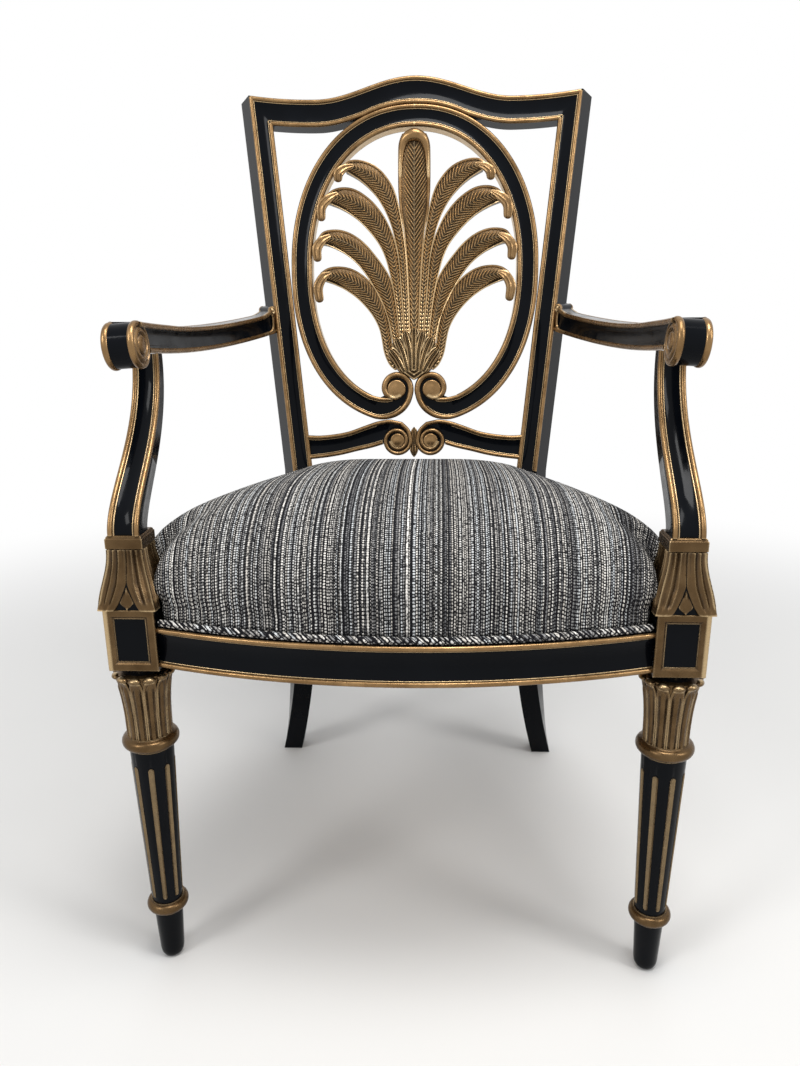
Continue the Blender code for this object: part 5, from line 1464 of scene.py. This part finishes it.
def striped_tweed():
    """Chains of round knots between dark lines; across and along are the cloth's own measures."""
    material, tree, shader = shader_of("striped_tweed")
    across = add_node(tree, "ShaderNodeAttribute", {"attribute_name": "across"}).outputs["Fac"]
    along = add_node(tree, "ShaderNodeAttribute", {"attribute_name": "along"}).outputs["Fac"]
    line = maths(tree, "ADD", across, span(tree, grain(tree, 45.0, 2.0), -0.0005, 0.0005))

    def threads(feature, scale, uneven):
        settings = {"voronoi_dimensions": "1D", "feature": feature}
        node = add_node(tree, "ShaderNodeTexVoronoi", settings, W=line, Scale=scale, Randomness=uneven)
        return node.outputs

    yarns, uneven = 450.0, 0.8
    draw = threads("F1", yarns, uneven)["Color"]
    draw = add_node(tree, "ShaderNodeSeparateColor", None, Color=draw).outputs
    gap = span(tree, threads("DISTANCE_TO_EDGE", yarns, uneven)["Distance"], 0.0, 1.0, 0.02, 0.40)
    between = span(tree, threads("DISTANCE_TO_EDGE", 210.0, 1.0)["Distance"], 0.0, 1.0, 0.09, 0.19)
    pick = maths(tree, "MULTIPLY_ADD", along, 2 * pi / 0.0034, span(tree, draw[1], 0.0, 25.0))
    pick = span(tree, maths(tree, "SINE", pick), 0.0, 1.0, -1.0, 0.5)
    knot = maths(tree, "MAXIMUM", pick, span(tree, draw[2], 0.10, 0.42, 0.70, 0.95))
    weave = maths(tree, "MULTIPLY", gap, knot)
    fleck = grain(tree, 420.0, 2.0)
    slub = span(tree, grain(tree, 90.0, 2.0, (5, 0.6, 0.6)), -0.06, 0.06, 0.25, 0.75)
    stops = [(0.0, 0.20, 0.20, 0.205), (0.12, 0.32, 0.315, 0.31), (0.36, 0.78, 0.735, 0.665)]
    stops += [(0.56, 0.67, 0.70, 0.715), (0.76, 0.84, 0.80, 0.735), (0.98, 0.94, 0.91, 0.85)]
    colour = add_ramp(tree, maths(tree, "ADD", draw[0], slub), stops)
    lit = span(tree, weave, 0.0, 1.0, 0.16, 0.50)
    shade = maths(tree, "MULTIPLY", lit, span(tree, fleck, 0.05, 1.70, 0.34, 0.66))
    shade = maths(tree, "MULTIPLY", shade, between)
    set_inputs(
        tree,
        shader,
        Base_Color=blended(tree, shade, (0.009, 0.009, 0.011, 1.0), colour),
        Normal=raised(tree, maths(tree, "MULTIPLY_ADD", fleck, 0.5, weave), 0.6, 0.0010),
        Roughness=span(tree, fleck, 0.85, 1.0),
        Sheen_Weight=0.02,
        Specular_IOR_Level=0.06,
    )
    return material


tweed = striped_tweed()
pad = Sizes(
    voxel=0.0055, hem=0.412, crown=0.440, free_rise=0.035, hold_rise=0.03, shrink=0.0014, cap=0.0045,
    press=0.008, steps=20, pressure=4.0, side_top=0.49, side_fall=0.020, end_fall=0.035,
)


def lay_cloth(mesh, measure):
    """Gives a mesh the cloth's measures; measure(vertex) is (across, along)."""
    pairs = [measure(vertex) for vertex in mesh.vertices]
    for label, values in zip(("across", "along"), zip(*pairs)):
        mesh.attributes.new(label, "FLOAT", "POINT").data.foreach_set("value", values)


def over_cushion(vertex):
    """Straight over the crown and down the front and back; the sides carry on from the crown's edge."""
    x, y, z = vertex.co
    beside = exp(-max(side_rail_point(1, y, 0.0, z).x - abs(x), 0.0) / pad.side_fall)
    before = exp(-max(y - bow_point(x, 0.0, z).y, 0.0) / pad.end_fall)
    behind = exp(-max(cushion_rear - y, 0.0) / pad.end_fall)
    total = beside + before + behind
    across = x + copysign(max(pad.side_top - z, 0.0) * beside / total, x)
    return across, y + (cushion_top - z) * (behind - before) / total


def on_the_bias(vertex):
    x, y, z = vertex.co
    return 0.5 * x + 0.25 * y + 0.55 * z, 0.5 * x - 0.4 * z + 0.7 * y


def made_plain(piece):
    """The piece's evaluated mesh in place of its modifiers."""
    graph = bpy.context.evaluated_depsgraph_get()
    mesh = bpy.data.meshes.new_from_object(piece.evaluated_get(graph))
    piece.modifiers.clear()
    piece.data = mesh


cushion_rear, cushion_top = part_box("seat_cover")[1].yz
bm = bmesh.new()
for node in ("seat_foam", "seat_cover"):
    bm.from_mesh(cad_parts[node].data)
    if node == "seat_foam":
        for vertex in bm.verts:
            if vertex.co.z < rail.high + 0.014:
                vertex.co.z = rail.high + 0.0004
bmesh.ops.remove_doubles(bm, verts=bm.verts, dist=1e-5)
mesh = bpy.data.meshes.new("seat_cushion")
bm.to_mesh(mesh)
bm.free()
mesh.materials.clear()
cushion = placed("seat_cushion", mesh)
remesh = cushion.modifiers.new("even", "REMESH")
remesh.mode = "VOXEL"
remesh.voxel_size = pad.voxel
made_plain(cushion)
for height, times in ((pad.hem, 4), (pad.crown, 40)):
    free = cushion.vertex_groups.new(name="free")
    for vertex in cushion.data.vertices:
        free.add([vertex.index], clamp((vertex.co.z - height) / pad.free_rise), "REPLACE")
    relax = cushion.modifiers.new("relax", "SMOOTH")
    relax.factor = 0.5
    relax.iterations = times
    relax.vertex_group = "free"
    made_plain(cushion)
    cushion.vertex_groups.clear()
hold = [clamp((v.co.z - pad.hem) / pad.hold_rise) for v in cushion.data.vertices]
start = [v.co - v.normal * pad.shrink * share for v, share in zip(cushion.data.vertices, hold)]
for vertex, place in zip(cushion.data.vertices, start):
    vertex.co = place
cloth = cushion.modifiers.new("stuffing", "CLOTH")
cloth.settings.use_pressure = True
cloth.settings.uniform_pressure_force = pad.pressure
cloth.settings.effector_weights.gravity = 0.0
cloth.point_cache.frame_start = 1
cloth.point_cache.frame_end = pad.steps
for step in range(1, pad.steps + 1):
    bpy.context.scene.frame_set(step)
graph = bpy.context.evaluated_depsgraph_get()
swollen = [v.co.copy() for v in cushion.evaluated_get(graph).data.vertices]
cushion.modifiers.clear()
bpy.context.scene.frame_set(1)
for vertex, old, new, share in zip(cushion.data.vertices, start, swollen, hold):
    move = (new - old) * share
    vertex.co = old + move * min(1.0, pad.cap / max(move.length, 1e-9))
# The front corners swell against the cups, above the blocks and below the crown.
corner = Sizes(x=0.180, y=leg_y + 0.050, low=0.426, high=0.505)
for vertex in cushion.data.vertices:
    x, y, z = vertex.co
    beside = clamp((abs(x) - corner.x) / 0.040) * clamp((corner.y - y) / 0.030)
    level = clamp((z - corner.low) / 0.014) * clamp((corner.high - z) / 0.040)
    share = clamp((z - leg_block.top) / (cup.top - leg_block.top))
    room = max(leg_x - cup_half(share) - 0.001, abs(x))
    vertex.co.x = copysign(min(abs(x) + pad.press * beside * level, room), x)
round_off = cushion.modifiers.new("round", "SUBSURF")
round_off.levels = round_off.render_levels = 1
made_plain(cushion)
cushion.data.materials.append(tweed)
lay_cloth(cushion.data, over_cushion)
cushion.data.shade_smooth()
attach(cushion, "root")
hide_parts("seat_cover", "seat_foam")

welt = Sizes(radius=0.0036, gap=0.002)
height = rail.high + 0.0003 + welt.radius
inset = welt.radius + 0.0003
stations = [(rail_half - welt.gap) * (k / 40 - 1) for k in range(81)]
runs = {"front": [bow_point(x, inset, height) for x in stations]}
for name, side in sides:
    start = leg_y + leg_block.side / 2 + welt.gap
    stations = [start + (seat_joint_y - welt.gap - start) * k / 40 for k in range(41)]
    runs[name] = [side_rail_point(side, y, inset, height) for y in stations]
for name, line in runs.items():
    piping = beads([(line, welt.radius)], tweed, 16)
    lay_cloth(piping, on_the_bias)
    put_in_place(piping, "welt_" + name, tweed, "striped_fabric", "seat_welt_" + name)

# Hidden joinery: the rear rail is lacquered with the rest, corner blocks and dowels are bare beech,
# the seat board is plywood, and the screws are plain steel.


def bare_wood(name, dark, light, stretch, lines):
    material, tree, shader = shader_of(name)
    figure = grain(tree, lines, 4.0, stretch)
    set_inputs(
        tree,
        shader,
        Base_Color=add_ramp(tree, figure, [(0.3, *dark), (0.7, *light)]),
        Roughness=span(tree, figure, 0.55, 0.75),
        Normal=raised(tree, figure, 0.2, 0.0005),
    )
    return material


def bright_steel():
    material, tree, shader = shader_of("screw_steel")
    wear = grain(tree, 900.0)
    colour = add_ramp(tree, wear, [(0.3, 0.30, 0.29, 0.27), (0.7, 0.52, 0.51, 0.49)])
    set_inputs(tree, shader, Base_Color=colour, Roughness=span(tree, wear, 0.25, 0.45), Metallic=1.0)
    return material


beech = bare_wood("bare_beech", (0.36, 0.21, 0.11), (0.52, 0.34, 0.19), (8, 1, 1), 60.0)
plywood = bare_wood("plywood", (0.42, 0.28, 0.15), (0.62, 0.46, 0.28), (1, 1, 9), 120.0)
steel = bright_steel()
for node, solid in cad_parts.items():
    if solid.hide_render:
        continue
    if "screw" in node:
        finish = steel
    elif "block" in node or "dowel" in node:
        finish = beech
    else:
        finish = plywood if node == "seat_board" else lacquer
    solid.data.materials.clear()
    solid.data.materials.append(finish)

# Studio: a plain pale floor under soft lamps, before a white surround. The floor fades into the
# surround away from the chair and keeps its shadow.
floor_bm = bmesh.new()
bmesh.ops.create_grid(floor_bm, x_segments=1, y_segments=1, size=12.0)
floor_mesh = bpy.data.meshes.new("floor")
floor_bm.to_mesh(floor_mesh)
floor_bm.free()
floor = placed("floor", floor_mesh)
pale, tree, shader = shader_of("pale_floor")
shader.inputs["Base Color"].default_value = (0.80, 0.79, 0.77, 1.0)
shader.inputs["Roughness"].default_value = 0.6
place = add_node(tree, "ShaderNodeTexCoord").outputs["Object"]
away = add_node(tree, "ShaderNodeVectorMath", {"operation": "LENGTH"}, i0=place).outputs["Value"]
smooth = {"interpolation_type": "SMOOTHSTEP"}
fade_from, fade_to = 0.7, 2.0
far = add_node(tree, "ShaderNodeMapRange", smooth, i0=away, i1=fade_from, i2=fade_to).outputs["Result"]
glow = add_node(tree, "ShaderNodeEmission", None, Strength=1.0).outputs[0]
fading = add_node(tree, "ShaderNodeMixShader", None, i0=far, i1=shader.outputs[0], i2=glow).outputs[0]
tree.links.new(fading, tree.nodes["Material Output"].inputs["Surface"])
floor_mesh.materials.append(pale)
world = bpy.data.worlds.new("surround")
bpy.context.scene.world = world
world.use_nodes = True
tree = world.node_tree
light = add_node(tree, "ShaderNodeLightPath").outputs
seen = light["Is Camera Ray"]
for label in ("Is Glossy Ray", "Is Transmission Ray"):
    seen = maths(tree, "MAXIMUM", seen, light[label])
shown = add_node(tree, "ShaderNodeBackground", None, Color=(1.0, 1.0, 1.0, 1.0), Strength=1.0).outputs[0]
soft = add_node(tree, "ShaderNodeBackground", None, Color=(0.95, 0.97, 1.0, 1.0), Strength=0.45).outputs[0]
mixed = add_node(tree, "ShaderNodeMixShader", None, i0=seen, i1=soft, i2=shown).outputs[0]
tree.links.new(mixed, tree.nodes["World Output"].inputs["Surface"])


def soft_lamp(name, place, target, size, power):
    lamp = placed(name, bpy.data.lights.new(name, "AREA"))
    lamp.data.shape = "RECTANGLE"
    lamp.data.size, lamp.data.size_y = size
    lamp.data.energy = power
    lamp.location = place
    lamp.rotation_euler = (Vector(target) - Vector(place)).to_track_quat("-Z", "Y").to_euler()


soft_lamp("lamp_over", (0.25, -0.45, 2.3), (0.0, 0.0, 0.5), (0.9, 0.8), 30.0)
soft_lamp("lamp_left", (-1.5, -1.5, 1.9), (0.0, 0.0, 0.55), (0.6, 0.9), 17.0)
soft_lamp("lamp_right", (1.7, -1.0, 1.7), (0.0, 0.0, 0.55), (0.5, 0.9), 13.0)
bpy.context.scene.view_settings.view_transform = "Standard"
